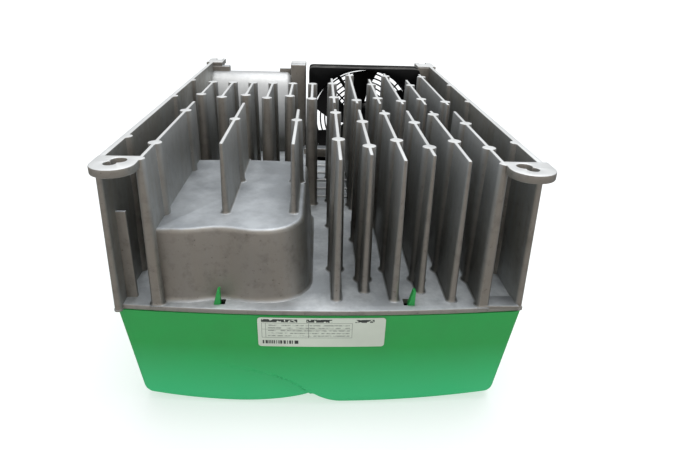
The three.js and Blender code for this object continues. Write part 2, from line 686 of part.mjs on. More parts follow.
function controlTerminalBlock() {
  const { left, near, far, deep, poles, pitch } = controlTerminals;
  const face = controlBoard.z - deep;
  const body = block([left, left + poles * pitch], [near, far], [face, controlBoard.z]);
  const screw = (i) => rod("z", [left + pitch * (i + 0.5), near + 6, 0], 1.9, [face - 1, face + 1.5], 6);
  return cut(body, Array.from({ length: poles }, (_, i) => screw(i)));
}

function glandPlateBody() {
  const { half, low, high, near, far } = glandPlate;
  const sheet = block([-half, half], [near, far], [low, high]);
  const middle = (low + high) / 2;
  const hole = ({ x, radius }) => rod("y", [x, 0, middle], radius, [near - 1, far + 1], 14);
  return cut(sheet, grommets.map(hole));
}

// A rubber blanking grommet: a groove that grips the plate and a closed skin to pierce for a cable.
function grommetBody(radius) {
  const { near, far } = glandPlate;
  const thick = far - near;
  const profile = [
    [0, -0.5], [radius - 1.5, -0.5], [radius - 1.5, -1.4], [radius + 1.5, -1.4], [radius + 1.5, -gap],
    [radius - gap, -gap], [radius - gap, thick + gap], [radius + 1.5, thick + gap],
    [radius + 1.5, thick + 1.6], [radius - 1.5, thick + 1.6], [radius - 3, 0.7], [0, 0.7],
  ];
  return solid(new THREE.LatheGeometry(profile.map(([r, y]) => new THREE.Vector2(r, y)), 14));
}

// The hinged cover over the terminals: a flat panel with a skirt, and a round barrel with a pin at each end.
function terminalCoverBody() {
  const { half, near, face, thick, pivotY, pivotZ, barrel, gap: clearance } = terminalLid;
  const panel = block([-half, half], [near, pivotY], [face, face + thick]);
  const skirt = block([-half, half], [near, near + 2], [face, 11]);
  const ribs = [-60, -20, 20, 60].map((x) => block([x - 1, x + 1], [near, pivotY], [face, 7.5]));
  const roll = rod("x", [0, pivotY, pivotZ], barrel, [-half, half], 24);
  const pinEnd = half + clearance + lidPin.length;
  const pin = rod("x", [0, pivotY, pivotZ], lidPin.radius, [-pinEnd, pinEnd]);
  return join([panel, skirt, ...ribs, roll, pin]);
}

// ---- Fan ----
const fanCorners = [[-1, -1], [1, -1], [1, 1], [-1, 1]]
  .map(([a, b]) => [fan.x + a * fan.screw, fan.z + b * fan.screw]);

function fanFrame() {
  const { x, z, size, near, far, bore } = fan;
  const half = size / 2;
  const round = 4;
  const square = new THREE.Shape();
  square.moveTo(z - half + round, x - half);
  [[1, -1, -90], [1, 1, 0], [-1, 1, 90], [-1, -1, 180]].forEach(([sz, sx, start]) => {
    const turn = THREE.MathUtils.degToRad(start);
    square.absarc(z + sz * (half - round), x + sx * (half - round), round, turn, turn + Math.PI / 2, false);
  });
  const body = extrude(square, "y", [near, far], 3);
  const duct = rod("y", [x, 0, z], bore, [near - 1, far + 1], 36);
  const holes = fanCorners.map(([a, b]) => rod("y", [a, 0, b], 2.3, [near - 1, far + 1], 8));
  const behindRotor = [far - 4, far - gap];
  const reach = bore + 1;
  const bars = [block([x - reach, x + reach], behindRotor, [z - 2.5, z + 2.5]),
    block([x - 2.5, x + 2.5], behindRotor, [z - reach, z + reach])];
  const motor = rod("y", [x, 0, z], 20, behindRotor, 24);
  return join([cut(body, [duct, ...holes]), ...bars, motor]);
}

// One fan blade, swept back along the tip and pitched about its own length.
function fanBlade() {
  const { root, tip, thick, lead, sweep, halfTurn, taper, pitch } = blade;
  const chord = [-1, -0.4, 0.2, 0.7, 1];
  const section = (out) => {
    const radius = root + (tip - root) * out;
    const at = (share, lift) => {
      const turn = THREE.MathUtils.degToRad(lead + sweep * out + (halfTurn - taper * out) * share);
      const y = fan.near + 11 + pitch * share + lift + 1.2 * (1 - share * share);
      return new THREE.Vector3(radius * Math.sin(turn), y, radius * Math.cos(turn));
    };
    const lower = chord.map((share) => at(share, -thick / 2));
    const upper = chord.map((share) => at(share, thick / 2)).reverse();
    return [...lower, ...upper];
  };
  return loft([0, 0.26, 0.52, 0.78, 1].map(section));
}

function fanRotor() {
  const { x, z, near, far } = fan;
  const hub = rod("y", [0, 0, 0], blade.root + 2, [near + 2.5, far - 4.5], 24);
  const first = fanBlade();
  const blades = Array.from({ length: bladeCount }, (_, i) => placed(first, "y", (360 / bladeCount) * i));
  return placed(join([hub, ...blades]), "y", 0, [x, 0, z]);
}

// The finger guard on the outside of the fan: rings, crossing bars and an ear at each screw.
function fanGuard() {
  const { x, z, far, screw } = fan;
  const y = [far, far + 1.8];
  const wire = 0.8; // half the width of a ring
  const ring = (radius) => {
    const shape = new THREE.Shape();
    shape.absarc(z, x, radius + wire, 0, 2 * Math.PI, false);
    const hole = new THREE.Path();
    hole.absarc(z, x, radius - wire, 0, 2 * Math.PI, true);
    shape.holes.push(hole);
    return extrude(shape, "y", y, 10);
  };
  const rings = [57, 52, 47, 42, 37, 32, 27].map(ring);
  const disc = rod("y", [x, 0, z], 20, y, 28);
  const bar = block([-screw * Math.SQRT2, screw * Math.SQRT2], y, [-1.5, 1.5]);
  const spokes = [45, 135].map((angle) => placed(bar, "y", angle, [x, 0, z]));
  const ears = fanCorners.map(([a, b]) => rod("y", [a, 0, b], 5, y, 12));
  const holes = fanCorners.map(([a, b]) => rod("y", [a, 0, b], 2.3, [y[0] - 1, y[1] + 1], 8));
  return cut(join([disc, ...rings, ...spokes, ...ears]), holes);
}

// A pan-head screw made upright: the head's underside is at zero and the shank runs down.
function screwBody(headRadius, headHigh, shankRadius, length) {
  const profile = [[0, -length], [shankRadius * 0.5, -length], [shankRadius, -length + 2], [shankRadius, 0],
    [headRadius, 0], [headRadius, headHigh * 0.6], [headRadius * 0.7, headHigh], [0, headHigh]];
  const body = turned(profile, 10);
  const reach = headRadius * 0.5;
  const depth = [headHigh * 0.4, headHigh + 1];
  const half = 0.45; // half the width of the cross slot
  const slots = [block([-reach, reach], [-half, half], depth), block([-half, half], [-reach, reach], depth)];
  return cut(body, slots);
}

// ---- Assembly ----
addNode("heatsink_casting", heatsinkCasting(), "casting");
addNode("front_cover", frontCover(), "green");
addNode("rating_label", ratingLabel(), "label");
const coverScrew = screwBody(4, 3, 1.4, 14);
[["left", -108], ["right", 108]].forEach(([side, x]) => {
  addNode(`${side}_cover_screw`, coverScrew, "steel", [x, 96, 19 - gap], Math.PI);
});

addNode("keypad_bezel", keypadBezel(), "dark");
addNode("display_window", block([gap - display.half, display.half - gap],
  [display.near + gap, display.far - gap], [keypad.face + 0.4, keypad.face + 2]), "window");
addNode("led_display_module", block([-29, 29], [-97, -75], [keypad.face + 2.6, keypadBoard.z]), "black");
addNode("keypad_board", keypadBoardBody(), "board");
const cap = buttonBody();
buttons.forEach(({ name, x, y, material }) => addNode(name, cap, material, [x, y, 0]));

addNode("power_board", powerBoardBody(), "board");
addNode("control_board", controlBoardBody(), "board");
addNode("inverter_module", powerModule(62, 122), "module", [41, -89, plateBottom]);
addNode("rectifier_module", powerModule(45, 94), "module", [42, 32, plateBottom]);
const canister = capacitorBody();
[-78.5, -37.5].forEach((x, column) => [-142, -101, -60].forEach((y, row) => {
  addNode(`dc_link_capacitor_${column * 3 + row + 1}`, canister, "sleeve", [x, y, 0]);
}));
addNode("choke_core", chokeCore(), "lamination");
addNode("choke_winding", chokeWinding(), "copper");
addNode("choke_clamp_plate", block([-121, -36], [136, 163], [plateBottom - 2, plateBottom]), "steel");
addNode("supply_transformer", block([-90, -60], [-60, -30], [powerBoard.z - 20, powerBoard.z]), "black");
addNode("precharge_relay", block([-60, -32], [20, 38], [powerBoard.z - 18, powerBoard.z]), "black");
[["u", 20], ["w", 50]].forEach(([phase, x]) => {
  const sensor = block([x, x + 22], [30, 52], [powerBoard.z - 16, powerBoard.z]);
  addNode(`phase_${phase}_current_sensor`, sensor, "module");
});
const boardTop = powerBoard.z + powerBoard.thick;
standoffPlaces.forEach(([x, y], i) => {
  addNode(`power_board_standoff_${i + 1}`, standoff(0, plateBottom - boardTop, 3), "brass", [x, y, boardTop]);
});
const controlTop = controlBoard.z + controlBoard.thick;
spacerPlaces.forEach(([x, y], i) => {
  const spacer = standoff(0, powerBoard.z - controlTop, 3);
  addNode(`control_board_spacer_${i + 1}`, spacer, "grey", [x, y, controlTop]);
});

addNode("power_terminal_block", powerTerminalBlock(), "grey");
addNode("control_terminal_block", controlTerminalBlock(), "dark");
addNode("gland_plate", glandPlateBody(), "steel");
grommets.forEach(({ name, x, radius }) => {
  addNode(name, grommetBody(radius), "rubber", [x, glandPlate.near, (glandPlate.low + glandPlate.high) / 2]);
});
addNode("terminal_cover", terminalCoverBody(), "dark");

addNode("fan_frame", fanFrame(), "black");
addNode("fan_rotor", fanRotor(), "black");
addNode("fan_guard", fanGuard(), "black");
const guardScrew = screwBody(3.6, 2.2, 1.8, 12);
fanCorners.forEach(([x, z], i) => {
  addNode(`fan_guard_screw_${i + 1}`, guardScrew, "steel", [x, fan.far + 1.8 + gap, z], -Math.PI / 2);
});

export default drive;
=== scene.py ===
# Variable frequency drive lying on its front cover, on a pale floor.
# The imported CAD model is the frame; each visible part is worked out here around it.
import json
import math

import bmesh
import bpy
import numpy as np
from mathutils import Matrix, Vector

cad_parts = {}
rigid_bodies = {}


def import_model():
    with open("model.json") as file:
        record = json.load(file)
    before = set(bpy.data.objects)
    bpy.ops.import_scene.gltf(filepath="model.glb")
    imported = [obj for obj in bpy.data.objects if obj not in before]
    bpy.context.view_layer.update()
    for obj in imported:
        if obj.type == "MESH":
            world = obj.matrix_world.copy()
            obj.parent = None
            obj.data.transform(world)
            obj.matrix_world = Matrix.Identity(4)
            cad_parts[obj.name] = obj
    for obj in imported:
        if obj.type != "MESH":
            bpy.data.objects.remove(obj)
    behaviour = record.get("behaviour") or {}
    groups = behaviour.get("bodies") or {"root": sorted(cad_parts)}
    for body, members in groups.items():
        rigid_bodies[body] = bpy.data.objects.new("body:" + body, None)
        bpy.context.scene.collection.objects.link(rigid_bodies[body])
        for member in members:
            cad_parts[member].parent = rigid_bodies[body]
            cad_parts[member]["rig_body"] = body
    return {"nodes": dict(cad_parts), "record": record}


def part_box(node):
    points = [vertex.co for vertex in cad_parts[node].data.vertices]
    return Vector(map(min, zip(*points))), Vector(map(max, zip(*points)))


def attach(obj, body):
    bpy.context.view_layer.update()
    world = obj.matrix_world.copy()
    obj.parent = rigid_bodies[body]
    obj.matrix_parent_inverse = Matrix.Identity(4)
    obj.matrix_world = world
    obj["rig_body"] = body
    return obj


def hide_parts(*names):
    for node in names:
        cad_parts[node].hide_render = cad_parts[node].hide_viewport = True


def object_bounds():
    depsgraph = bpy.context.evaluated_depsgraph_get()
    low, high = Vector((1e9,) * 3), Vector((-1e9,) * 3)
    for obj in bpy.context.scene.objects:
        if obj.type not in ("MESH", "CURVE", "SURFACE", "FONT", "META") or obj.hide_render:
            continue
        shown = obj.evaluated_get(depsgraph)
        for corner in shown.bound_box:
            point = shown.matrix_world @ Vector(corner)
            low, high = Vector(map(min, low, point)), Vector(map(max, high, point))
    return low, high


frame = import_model()
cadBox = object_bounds()
nodes = frame["nodes"]
print("frame loaded:", len(nodes), "nodes")

mm = 0.001  # shapes below are worked out in millimetres and stored in metres
chassis = "chassis"


def boxOf(name):
    # lowest and highest corner of a CAD node, in millimetres
    low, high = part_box(name)
    return np.array(low) / mm, np.array(high) / mm


mountFace = float(boxOf("heatsink_casting")[1][2])  # height of the feet's mounting face



def setInputs(tree, made, values):
    # an input given as a socket is linked, any other value is set on it
    for key, value in values.items():
        if isinstance(value, bpy.types.NodeSocket):
            tree.links.new(value, made.inputs[key])
        else:
            made.inputs[key].default_value = value
    return made


def node(tree, kind, inputs=None, **settings):
    made = tree.nodes.new("ShaderNode" + kind)
    for key, value in settings.items():
        setattr(made, key, value)
    return setInputs(tree, made, inputs or {})


def maths(tree, operation, a, b=0.0, clamp=False):
    return node(tree, "Math", {0: a, 1: b}, operation=operation, use_clamp=clamp).outputs[0]


def multiply(tree, a, b):
    return maths(tree, "MULTIPLY", a, b)


def blendColour(tree, factor, a, b):
    return node(tree, "Mix", {0: factor, 6: a, 7: b}, data_type="RGBA").outputs[2]


def remap(tree, value, low, high, newLow=0.0, newHigh=1.0):
    inputs = {"Value": value, "From Min": low, "From Max": high, "To Min": newLow, "To Max": newHigh}
    return node(tree, "MapRange", inputs).outputs["Result"]


def noise(tree, vector, scale, detail=3.0, roughness=0.55):
    inputs = {"Vector": vector, "Scale": scale, "Detail": detail, "Roughness": roughness}
    return node(tree, "TexNoise", inputs).outputs["Fac"]


def objectPlace(tree):
    return node(tree, "TexCoord").outputs["Object"]


def axisOf(tree, vector, axis):
    return node(tree, "SeparateXYZ", {0: vector}).outputs[axis]


def rgb(hexCode):
    # linear colour from a six-digit sRGB code
    parts = [int(hexCode[i:i + 2], 16) / 255 for i in (0, 2, 4)]
    return tuple(p / 12.92 if p <= 0.04045 else ((p + 0.055) / 1.055) ** 2.4 for p in parts) + (1.0,)


def newGroup(name, inputs, outputs):
    group = bpy.data.node_groups.new(name, "ShaderNodeTree")
    for label, kind, value in inputs:
        socket = group.interface.new_socket(label, in_out="INPUT", socket_type=kind)
        socket.default_value = value
    for label, kind in outputs:
        group.interface.new_socket(label, in_out="OUTPUT", socket_type=kind)
    return group, group.nodes.new("NodeGroupInput").outputs, group.nodes.new("NodeGroupOutput").inputs


def grainGroup():
    # fine moulded or cast grain: two noises of one size and a third of it, as a height and a mask
    group, given, out = newGroup("surfaceGrain", [
        ("Scale", "NodeSocketFloat", 900.0), ("Stretch", "NodeSocketVector", (1, 1, 1)),
    ], [("Height", "NodeSocketFloat"), ("Blotch", "NodeSocketFloat")])
    where = objectPlace(group)
    pulled = node(group, "VectorMath", {0: where, 1: given["Stretch"]}, operation="MULTIPLY").outputs[0]
    fine = noise(group, pulled, given["Scale"], 2.0, 0.6)
    coarse = noise(group, pulled, maths(group, "MULTIPLY", given["Scale"], 0.34), 2.0, 0.6)
    height = maths(group, "ADD", maths(group, "MULTIPLY", fine, 0.5), maths(group, "MULTIPLY", coarse, 0.5))
    group.links.new(height, out["Height"])
    blotch = noise(group, pulled, maths(group, "MULTIPLY", given["Scale"], 0.03), 4.0, 0.6)
    group.links.new(remap(group, blotch, 0.35, 0.68), out["Blotch"])
    return group


def edgeGroup():
    # worn edges and painted edge highlights: how far the rounded normal leans away from the true one, broken
    # up by noise
    group, given, out = newGroup("edgeWearAndHighlight", [
        ("Radius", "NodeSocketFloat", 0.0008), ("Amount", "NodeSocketFloat", 1.0),
    ], [("Mask", "NodeSocketFloat")])
    rounded = node(group, "Bevel", {"Radius": given["Radius"]}, samples=4).outputs[0]
    true = node(group, "NewGeometry").outputs["Normal"]
    lean = node(group, "VectorMath", {0: rounded, 1: true}, operation="DOT_PRODUCT").outputs["Value"]
    edge = remap(group, lean, 0.995, 0.86)
    where = objectPlace(group)
    broken = remap(group, noise(group, where, 260.0, 3.0), 0.35, 0.6)
    mask = maths(group, "MULTIPLY", maths(group, "MULTIPLY", edge, broken), given["Amount"], clamp=True)
    group.links.new(mask, out["Mask"])
    return group


def dustGroup():
    # dust and stains that settle where a surface faces up
    group, given, out = newGroup("settledDust", [
        ("Scale", "NodeSocketFloat", 40.0), ("Amount", "NodeSocketFloat", 0.5),
    ], [("Mask", "NodeSocketFloat")])
    normal = node(group, "NewGeometry").outputs["Normal"]
    facing = remap(group, axisOf(group, normal, "Z"), 0.6, 0.95)
    where = objectPlace(group)
    patches = remap(group, noise(group, where, given["Scale"], 6.0, 0.65), 0.42, 0.66)
    mask = maths(group, "MULTIPLY", maths(group, "MULTIPLY", facing, patches), given["Amount"], clamp=True)
    group.links.new(mask, out["Mask"])
    return group


surfaceGrain = grainGroup()
edgeWearAndHighlight = edgeGroup()
settledDust = dustGroup()


def placeGroup(tree, group, inputs):
    return node(tree, "Group", inputs, node_tree=group).outputs


def settledMask(tree, scale, amount):
    return placeGroup(tree, settledDust, {"Scale": scale, "Amount": amount})["Mask"]


def edgeMask(tree, radius, amount):
    return placeGroup(tree, edgeWearAndHighlight, {"Radius": radius, "Amount": amount})["Mask"]


def startMaterial(name):
    material = bpy.data.materials.new(name)
    material.use_nodes = True
    tree = material.node_tree
    return material, tree, tree.nodes["Principled BSDF"]


def bump(tree, height, distance):
    return node(tree, "Bump", {"Height": height, "Distance": distance, "Strength": 1.0}).outputs[0]



# in these looks, near is the colour of a warm painted reflection on faces turned to the near end
castLook = {
    "metal": rgb("a5a6a2"), "warm": rgb("878379"), "streakAndPaintedTopLight": rgb("a9b0b8"), "near": rgb("ada398"),
    "stain": rgb("d9dee2"), "poreAndFinShade": rgb("4d4b46"), "tip": rgb("eceeee"), "metallic": 0.8, "roughness": 0.5,
    "grain": 900.0, "grainDepth": 0.00006, "streak": (1.0, 1.0, 0.07), "streakScale": 210.0,
    "stainScale": 26.0, "stainAmount": 0.55, "tall": 0.0,
}
plateLook = {
    **castLook, "metal": rgb("b9bcbd"), "warm": rgb("a3a6a6"), "streakAndPaintedTopLight": rgb("c3cad0"), "stain": rgb("e6ebee"),
    "stainScale": 42.0, "stainAmount": 0.9, "metallic": 0.7,
}
# tall sets how strongly the fins' sides are painted light near their tips and painted shade down between them
finLook = {**castLook, "tall": 0.4}
brightLook = {
    **castLook, "metal": rgb("f0f1f1"), "warm": rgb("e6e7e5"), "streakAndPaintedTopLight": rgb("c4c7ca"), "near": rgb("f0f1f1"),
    "poreAndFinShade": rgb("d8d8d6"), "stain": rgb("d0d3d6"), "metallic": 0.3, "roughness": 0.42,
}
# low is painted shade on the lower part of the choke housing, where it stands behind the fins
chokeLook = {**brightLook, "streakAndPaintedTopLight": rgb("a6a9ac"), "stain": rgb("b6b9bc"), "low": rgb("5b5a56")}


def castAluminium(name, look):
    # cloudy and streaked metal with pores, stained on upward faces, with a warm painted reflection on near
    # faces and a cool painted sky light on upward ones
    material, tree, shader = startMaterial(name)
    where = objectPlace(tree)
    height = axisOf(tree, where, "Z")
    facing = node(tree, "SeparateXYZ", {0: node(tree, "NewGeometry").outputs["Normal"]}).outputs
    cloud = remap(tree, noise(tree, where, 22.0, 4.0, 0.6), 0.35, 0.65)
    pulled = node(tree, "Mapping", {"Vector": where, "Scale": look["streak"]}).outputs[0]
    streak = remap(tree, noise(tree, pulled, look["streakScale"], 3.0), 0.36, 0.66)
    # faces turned towards the near end take the near tone: a painted reflection
    nearFaceReflection = remap(tree, facing["Y"], -0.3, -0.95)
    mottle = remap(tree, noise(tree, where, 130.0, 5.0, 0.68), 0.5, 0.72)
    pores = remap(tree, noise(tree, where, 520.0, 2.0, 0.5), 0.69, 0.77)
    layers = [(cloud, 0.75, "warm"), (streak, 0.3, "streakAndPaintedTopLight"), (nearFaceReflection, 0.7, "near"), (mottle, 0.3, "poreAndFinShade"),
              (pores, 0.45, "poreAndFinShade")]
    if look["tall"]:  # fin sides are painted lighter towards their tips, in the pale stain tone, and painted with shade in the pore tone down between their neighbours
        sideward = remap(tree, maths(tree, "ABSOLUTE", facing["X"]), 0.5, 0.9)
        paintedFinTipLight = multiply(tree, sideward, remap(tree, height, 0.12, 0.168))
        paintedFinRootShade = multiply(tree, sideward, remap(tree, height, 0.125, 0.082))
        layers += [(paintedFinTipLight, look["tall"], "stain"), (paintedFinRootShade, look["tall"] * 1.4, "poreAndFinShade")]
    if "low" in look:  # the choke housing is painted with shade where it stands down behind the fins
        layers.append((remap(tree, height, 0.124, 0.092), 1.0, "low"))
    # upward faces are tinted with the cool streak tone as painted light: a cool sky light, and on the choke
    # housing a darker painted shade on its roof
    upward = remap(tree, facing["Z"], 0.75, 0.97)
    stain = settledMask(tree, look["stainScale"], look["stainAmount"])
    layers += [(upward, 0.7, "streakAndPaintedTopLight"), (stain, 1.0, "stain")]
    # the fin tops at the mounting face are machined bright; the edge mask adds a painted highlight along
    # every rounded edge, both in the tip tone
    top = mountFace * mm
    tip = multiply(tree, remap(tree, height, top - 0.0006, top - 0.0002), upward)
    machinedTopAndEdgeHighlight = maths(tree, "MAXIMUM", multiply(tree, tip, 0.8), edgeMask(tree, 0.0007, 0.65))
    layers.append((machinedTopAndEdgeHighlight, 1.0, "tip"))
    base = look["metal"]
    for mask, share, tone in layers:
        base = blendColour(tree, mask if share == 1.0 else multiply(tree, mask, share), base, look[tone])
    rough = remap(tree, cloud, 0.0, 1.0, look["roughness"] - 0.06, look["roughness"] + 0.1)
    grain = placeGroup(tree, surfaceGrain, {"Scale": look["grain"]})
    setInputs(tree, shader, {
        "Base Color": base, "Metallic": look["metallic"],
        "Roughness": maths(tree, "ADD", rough, multiply(tree, stain, 0.15)),
        "Normal": bump(tree, grain["Height"], look["grainDepth"]),
    })
    return material


def plasticLook(base, worn, roughness, grain, depth, blotch, **more):
    return {"base": rgb(base), "worn": rgb(worn), "roughness": roughness, "grain": grain, "depth": depth,
            "blotch": blotch, "dust": 0.0, "specular": 0.5, **more}


plasticLooks = {
    # the green cover's paler tone towards its front face is painted light bounced up from the floor
    "green_cover": plasticLook("239f49", "45b565", 0.42, 1500.0, 0.00003, 0.03, lower=rgb("38c27c")),
    "dark_plastic": plasticLook("34373a", "55585b", 0.5, 1400.0, 0.00004, 0.12, dust=0.1),
    "black_plastic": plasticLook("060607", "3b3c40", 0.45, 1600.0, 0.00002, 0.1, dust=0.2, specular=0.25),
    "grey_plastic": plasticLook("b4b8ba", "d2d5d6", 0.48, 1600.0, 0.00002, 0.06),
    "red_plastic": plasticLook("b3241f", "d6605a", 0.3, 1600.0, 0.00002, 0.06),
    "green_button": plasticLook("2a8738", "63b26c", 0.3, 1600.0, 0.00002, 0.06),
    "module_body": plasticLook("2a2a2d", "4b4b4f", 0.58, 1100.0, 0.00005, 0.1),
    "rubber": plasticLook("1b1b1b", "333333", 0.78, 800.0, 0.00005, 0.15, dust=0.2),
}


def mouldedPlastic(name, look):
    # fine moulded grain with slow blotches, paler worn edges, and dust on what faces up
    material, tree, shader = startMaterial(name)
    grain = placeGroup(tree, surfaceGrain, {"Scale": look["grain"]})
    darker = tuple(c * (1 - 2.2 * look["blotch"]) for c in look["base"][:3]) + (1.0,)
    base = blendColour(tree, grain["Blotch"], look["base"], darker)
    base = blendColour(tree, edgeMask(tree, 0.0005, 0.35), base, look["worn"])
    if "lower" in look:  # the cover is painted paler towards its front face, as light bounced up from the floor
        height = axisOf(tree, objectPlace(tree), "Z")
        base = blendColour(tree, remap(tree, height, 0.05, 0.008), base, look["lower"])
    if look["dust"]:
        base = blendColour(tree, settledMask(tree, 55.0, look["dust"]), base, rgb("b9b6ae"))
    rough = remap(tree, grain["Blotch"], 0.0, 1.0, look["roughness"] - 0.05, look["roughness"] + 0.07)
    setInputs(tree, shader, {
        "Base Color": base, "Roughness": rough, "Normal": bump(tree, grain["Height"], look["depth"]),
        "Specular IOR Level": look["specular"],
    })
    return material


def metalLook(base, other, roughness, stretch):
    return {"base": rgb(base), "other": rgb(other), "roughness": roughness, "stretch": stretch}


metalLooks = {
    "zinc_steel": metalLook("c6c8ca", "a9adb4", 0.3, (1, 1, 1)),
    "brass": metalLook("c9ab5c", "a98a40", 0.28, (1, 1, 6)),
    "copper": metalLook("b4683a", "8c4a26", 0.26, (0.2, 0.2, 9)),
    "lamination": metalLook("5d5e62", "3f4044", 0.48, (0.2, 9, 0.2)),
}


def plainMetal(name, look):
    # bare or plated metal, mottled and brushed along its stretch, with a painted highlight along its edges
    material, tree, shader = startMaterial(name)
    grain = placeGroup(tree, surfaceGrain, {"Scale": 700.0, "Stretch": look["stretch"]})
    base = blendColour(tree, grain["Blotch"], look["base"], look["other"])
    # the near-white edge tone is a painted highlight
    base = blendColour(tree, edgeMask(tree, 0.0004, 0.5), base, rgb("eeeeee"))
    rough = remap(tree, grain["Height"], 0.3, 0.7, look["roughness"] - 0.06, look["roughness"] + 0.12)
    setInputs(tree, shader, {
        "Base Color": base, "Metallic": 1.0, "Roughness": rough,
        "Normal": bump(tree, grain["Height"], 0.00003),
    })
    return material


def circuitBoard():
    # solder mask over fine copper tracks: a brick pattern of narrow joints, with pads of Voronoi cells
    material, tree, shader = startMaterial("circuit_board")
    where = objectPlace(tree)
    tracks = node(tree, "TexBrick", {
        "Vector": where, "Scale": 60.0, "Mortar Size": 0.03, "Mortar Smooth": 0.1,
        "Color1": (0, 0, 0, 1), "Color2": (0, 0, 0, 1), "Mortar": (1, 1, 1, 1),
    }).outputs["Color"]
    cells = node(tree, "TexVoronoi", {"Vector": where, "Scale": 190.0}).outputs["Distance"]
    pads = remap(tree, cells, 0.22, 0.16)
    base = blendColour(tree, tracks, rgb("1c5230"), rgb("2c7444"))
    base = blendColour(tree, multiply(tree, pads, 0.7), base, rgb("c9c3a6"))
    rough = remap(tree, noise(tree, where, 120.0), 0.3, 0.7, 0.25, 0.42)
    setInputs(tree, shader, {
        "Base Color": base, "Roughness": rough, "Normal": bump(tree, tracks, 0.00003),
    })
    return material


def sleeveFilm():
    # shrink sleeve of a capacitor: glossy blue with a pale stripe down one side
    material, tree, shader = startMaterial("capacitor_sleeve")
    where = objectPlace(tree)
    wrinkles = noise(tree, where, 160.0, 3.0)
    stripe = node(tree, "TexWave", {"Vector": where, "Scale": 12.0, "Distortion": 0.0}).outputs["Fac"]
    base = blendColour(tree, maths(tree, "GREATER_THAN", stripe, 0.93), rgb("1f2f57"), rgb("9aa7c4"))
    base = blendColour(tree, multiply(tree, wrinkles, 0.3), base, rgb("14203d"))
    rough = remap(tree, wrinkles, 0.3, 0.7, 0.2, 0.38)
    setInputs(tree, shader, {
        "Base Color": base, "Roughness": rough, "Normal": bump(tree, wrinkles, 0.0001),
    })
    return material


def tintedWindow():
    # smoked red window over the digits, with faint smears in its gloss
    material, tree, shader = startMaterial("display_window")
    where = objectPlace(tree)
    smear = noise(tree, where, 45.0, 3.0)
    base = blendColour(tree, remap(tree, smear, 0.35, 0.7), rgb("2c0e10"), rgb("3d1416"))
    setInputs(tree, shader, {"Base Color": base, "Roughness": remap(tree, smear, 0.3, 0.7, 0.06, 0.16)})
    shader.inputs["Coat Weight"].default_value = 0.6
    return material


labelLook = {
    "film": rgb("c9cfc2"), "other": rgb("bfc5b8"), "ink": rgb("3c403d"), "faint": rgb("6f746e"),
    "roughness": 0.4, "rows": 11.0, "rowShare": 0.42,
    "words": [(0.03, 0.31, 0.855, 0.955), (0.38, 0.58, 0.855, 0.955), (0.76, 0.91, 0.845, 0.945)],
    "rules": [(0.03, 0.74, 0.815, 0.83), (0.03, 0.74, 0.60, 0.612), (0.03, 0.74, 0.31, 0.325),
              (0.03, 0.034, 0.31, 0.83), (0.06, 0.064, 0.31, 0.83), (0.395, 0.40, 0.31, 0.83),
              (0.737, 0.741, 0.31, 0.83)],
    "table": (0.08, 0.72, 0.34, 0.8), "uprights": (0.035, 0.32, 0.1, 0.22),
}


def labelFilm(low, high):
    # A printed film: a ruled table, grey bars for its rows and a block of upright bars, all generic.
    # Each patch is (u0, u1, v0, v1), as shares of the film's width and height.
    material, tree, shader = startMaterial("label_film")
    where = objectPlace(tree)
    wide, tall = (high[0] - low[0]) * mm, (high[2] - low[2]) * mm
    place = node(tree, "Mapping", {
        "Vector": where, "Location": (-low[0] * mm / wide, 0, -low[2] * mm / tall),
        "Scale": (1 / wide, 1, 1 / tall),
    }).outputs[0]
    u, v = axisOf(tree, place, "X"), axisOf(tree, place, "Z")

    def inside(value, low, high):
        return multiply(tree, maths(tree, "GREATER_THAN", value, low), maths(tree, "LESS_THAN", value, high))

    def patch(u0, u1, v0, v1):
        return multiply(tree, inside(u, u0, u1), inside(v, v0, v1))

    def patches(spans):
        total = patch(*spans[0])
        for span in spans[1:]:
            total = maths(tree, "MAXIMUM", total, patch(*span))
        return total

    words = maths(tree, "GREATER_THAN", noise(tree, where, 560.0, 1.0), 0.41)
    header = multiply(tree, patches(labelLook["words"]), words)
    row = maths(tree, "FRACT", multiply(tree, v, labelLook["rows"]))
    row = maths(tree, "LESS_THAN", row, labelLook["rowShare"])
    mottled = remap(tree, noise(tree, where, 420.0, 2.0), 0.4, 0.55)
    text = multiply(tree, multiply(tree, row, patch(*labelLook["table"])), mottled)
    across = node(tree, "Mapping", {"Vector": where, "Scale": (1, 0, 0)}).outputs[0]
    bars = maths(tree, "GREATER_THAN", noise(tree, across, 900.0, 0.0), 0.47)
    uprights = multiply(tree, patch(*labelLook["uprights"]), bars)
    tone = remap(tree, noise(tree, where, 30.0), 0.35, 0.65)
    base = blendColour(tree, tone, labelLook["film"], labelLook["other"])
    base = blendColour(tree, multiply(tree, text, 0.75), base, labelLook["faint"])
    base = blendColour(tree, multiply(tree, patches(labelLook["rules"]), 0.8), base, labelLook["faint"])
    base = blendColour(tree, maths(tree, "MAXIMUM", header, uprights), base, labelLook["ink"])
    setInputs(tree, shader, {"Base Color": base, "Roughness": labelLook["roughness"]})
    return material


def floorPaint():
    # pale and softly lit from within, and less bright where metal mirrors it
    material, tree, shader = startMaterial("pale_floor")
    where = objectPlace(tree)
    tone = remap(tree, noise(tree, where, 3.0, 2.0), 0.3, 0.7)
    base = blendColour(tree, tone, rgb("bcc0c2"), rgb("bfc3c5"))
    setInputs(tree, shader, {"Base Color": base, "Roughness": 0.8, "Emission Color": (1, 1, 1, 1),
                             "Emission Strength": 0.56})
    dim = node(tree, "BsdfDiffuse", {"Color": (0.16, 0.16, 0.16, 1)}).outputs[0]
    mirrored = node(tree, "LightPath").outputs["Is Glossy Ray"]
    mixed = node(tree, "MixShader", {0: mirrored, 1: shader.outputs[0], 2: dim}).outputs[0]
    tree.links.new(mixed, tree.nodes["Material Output"].inputs["Surface"])
    return material


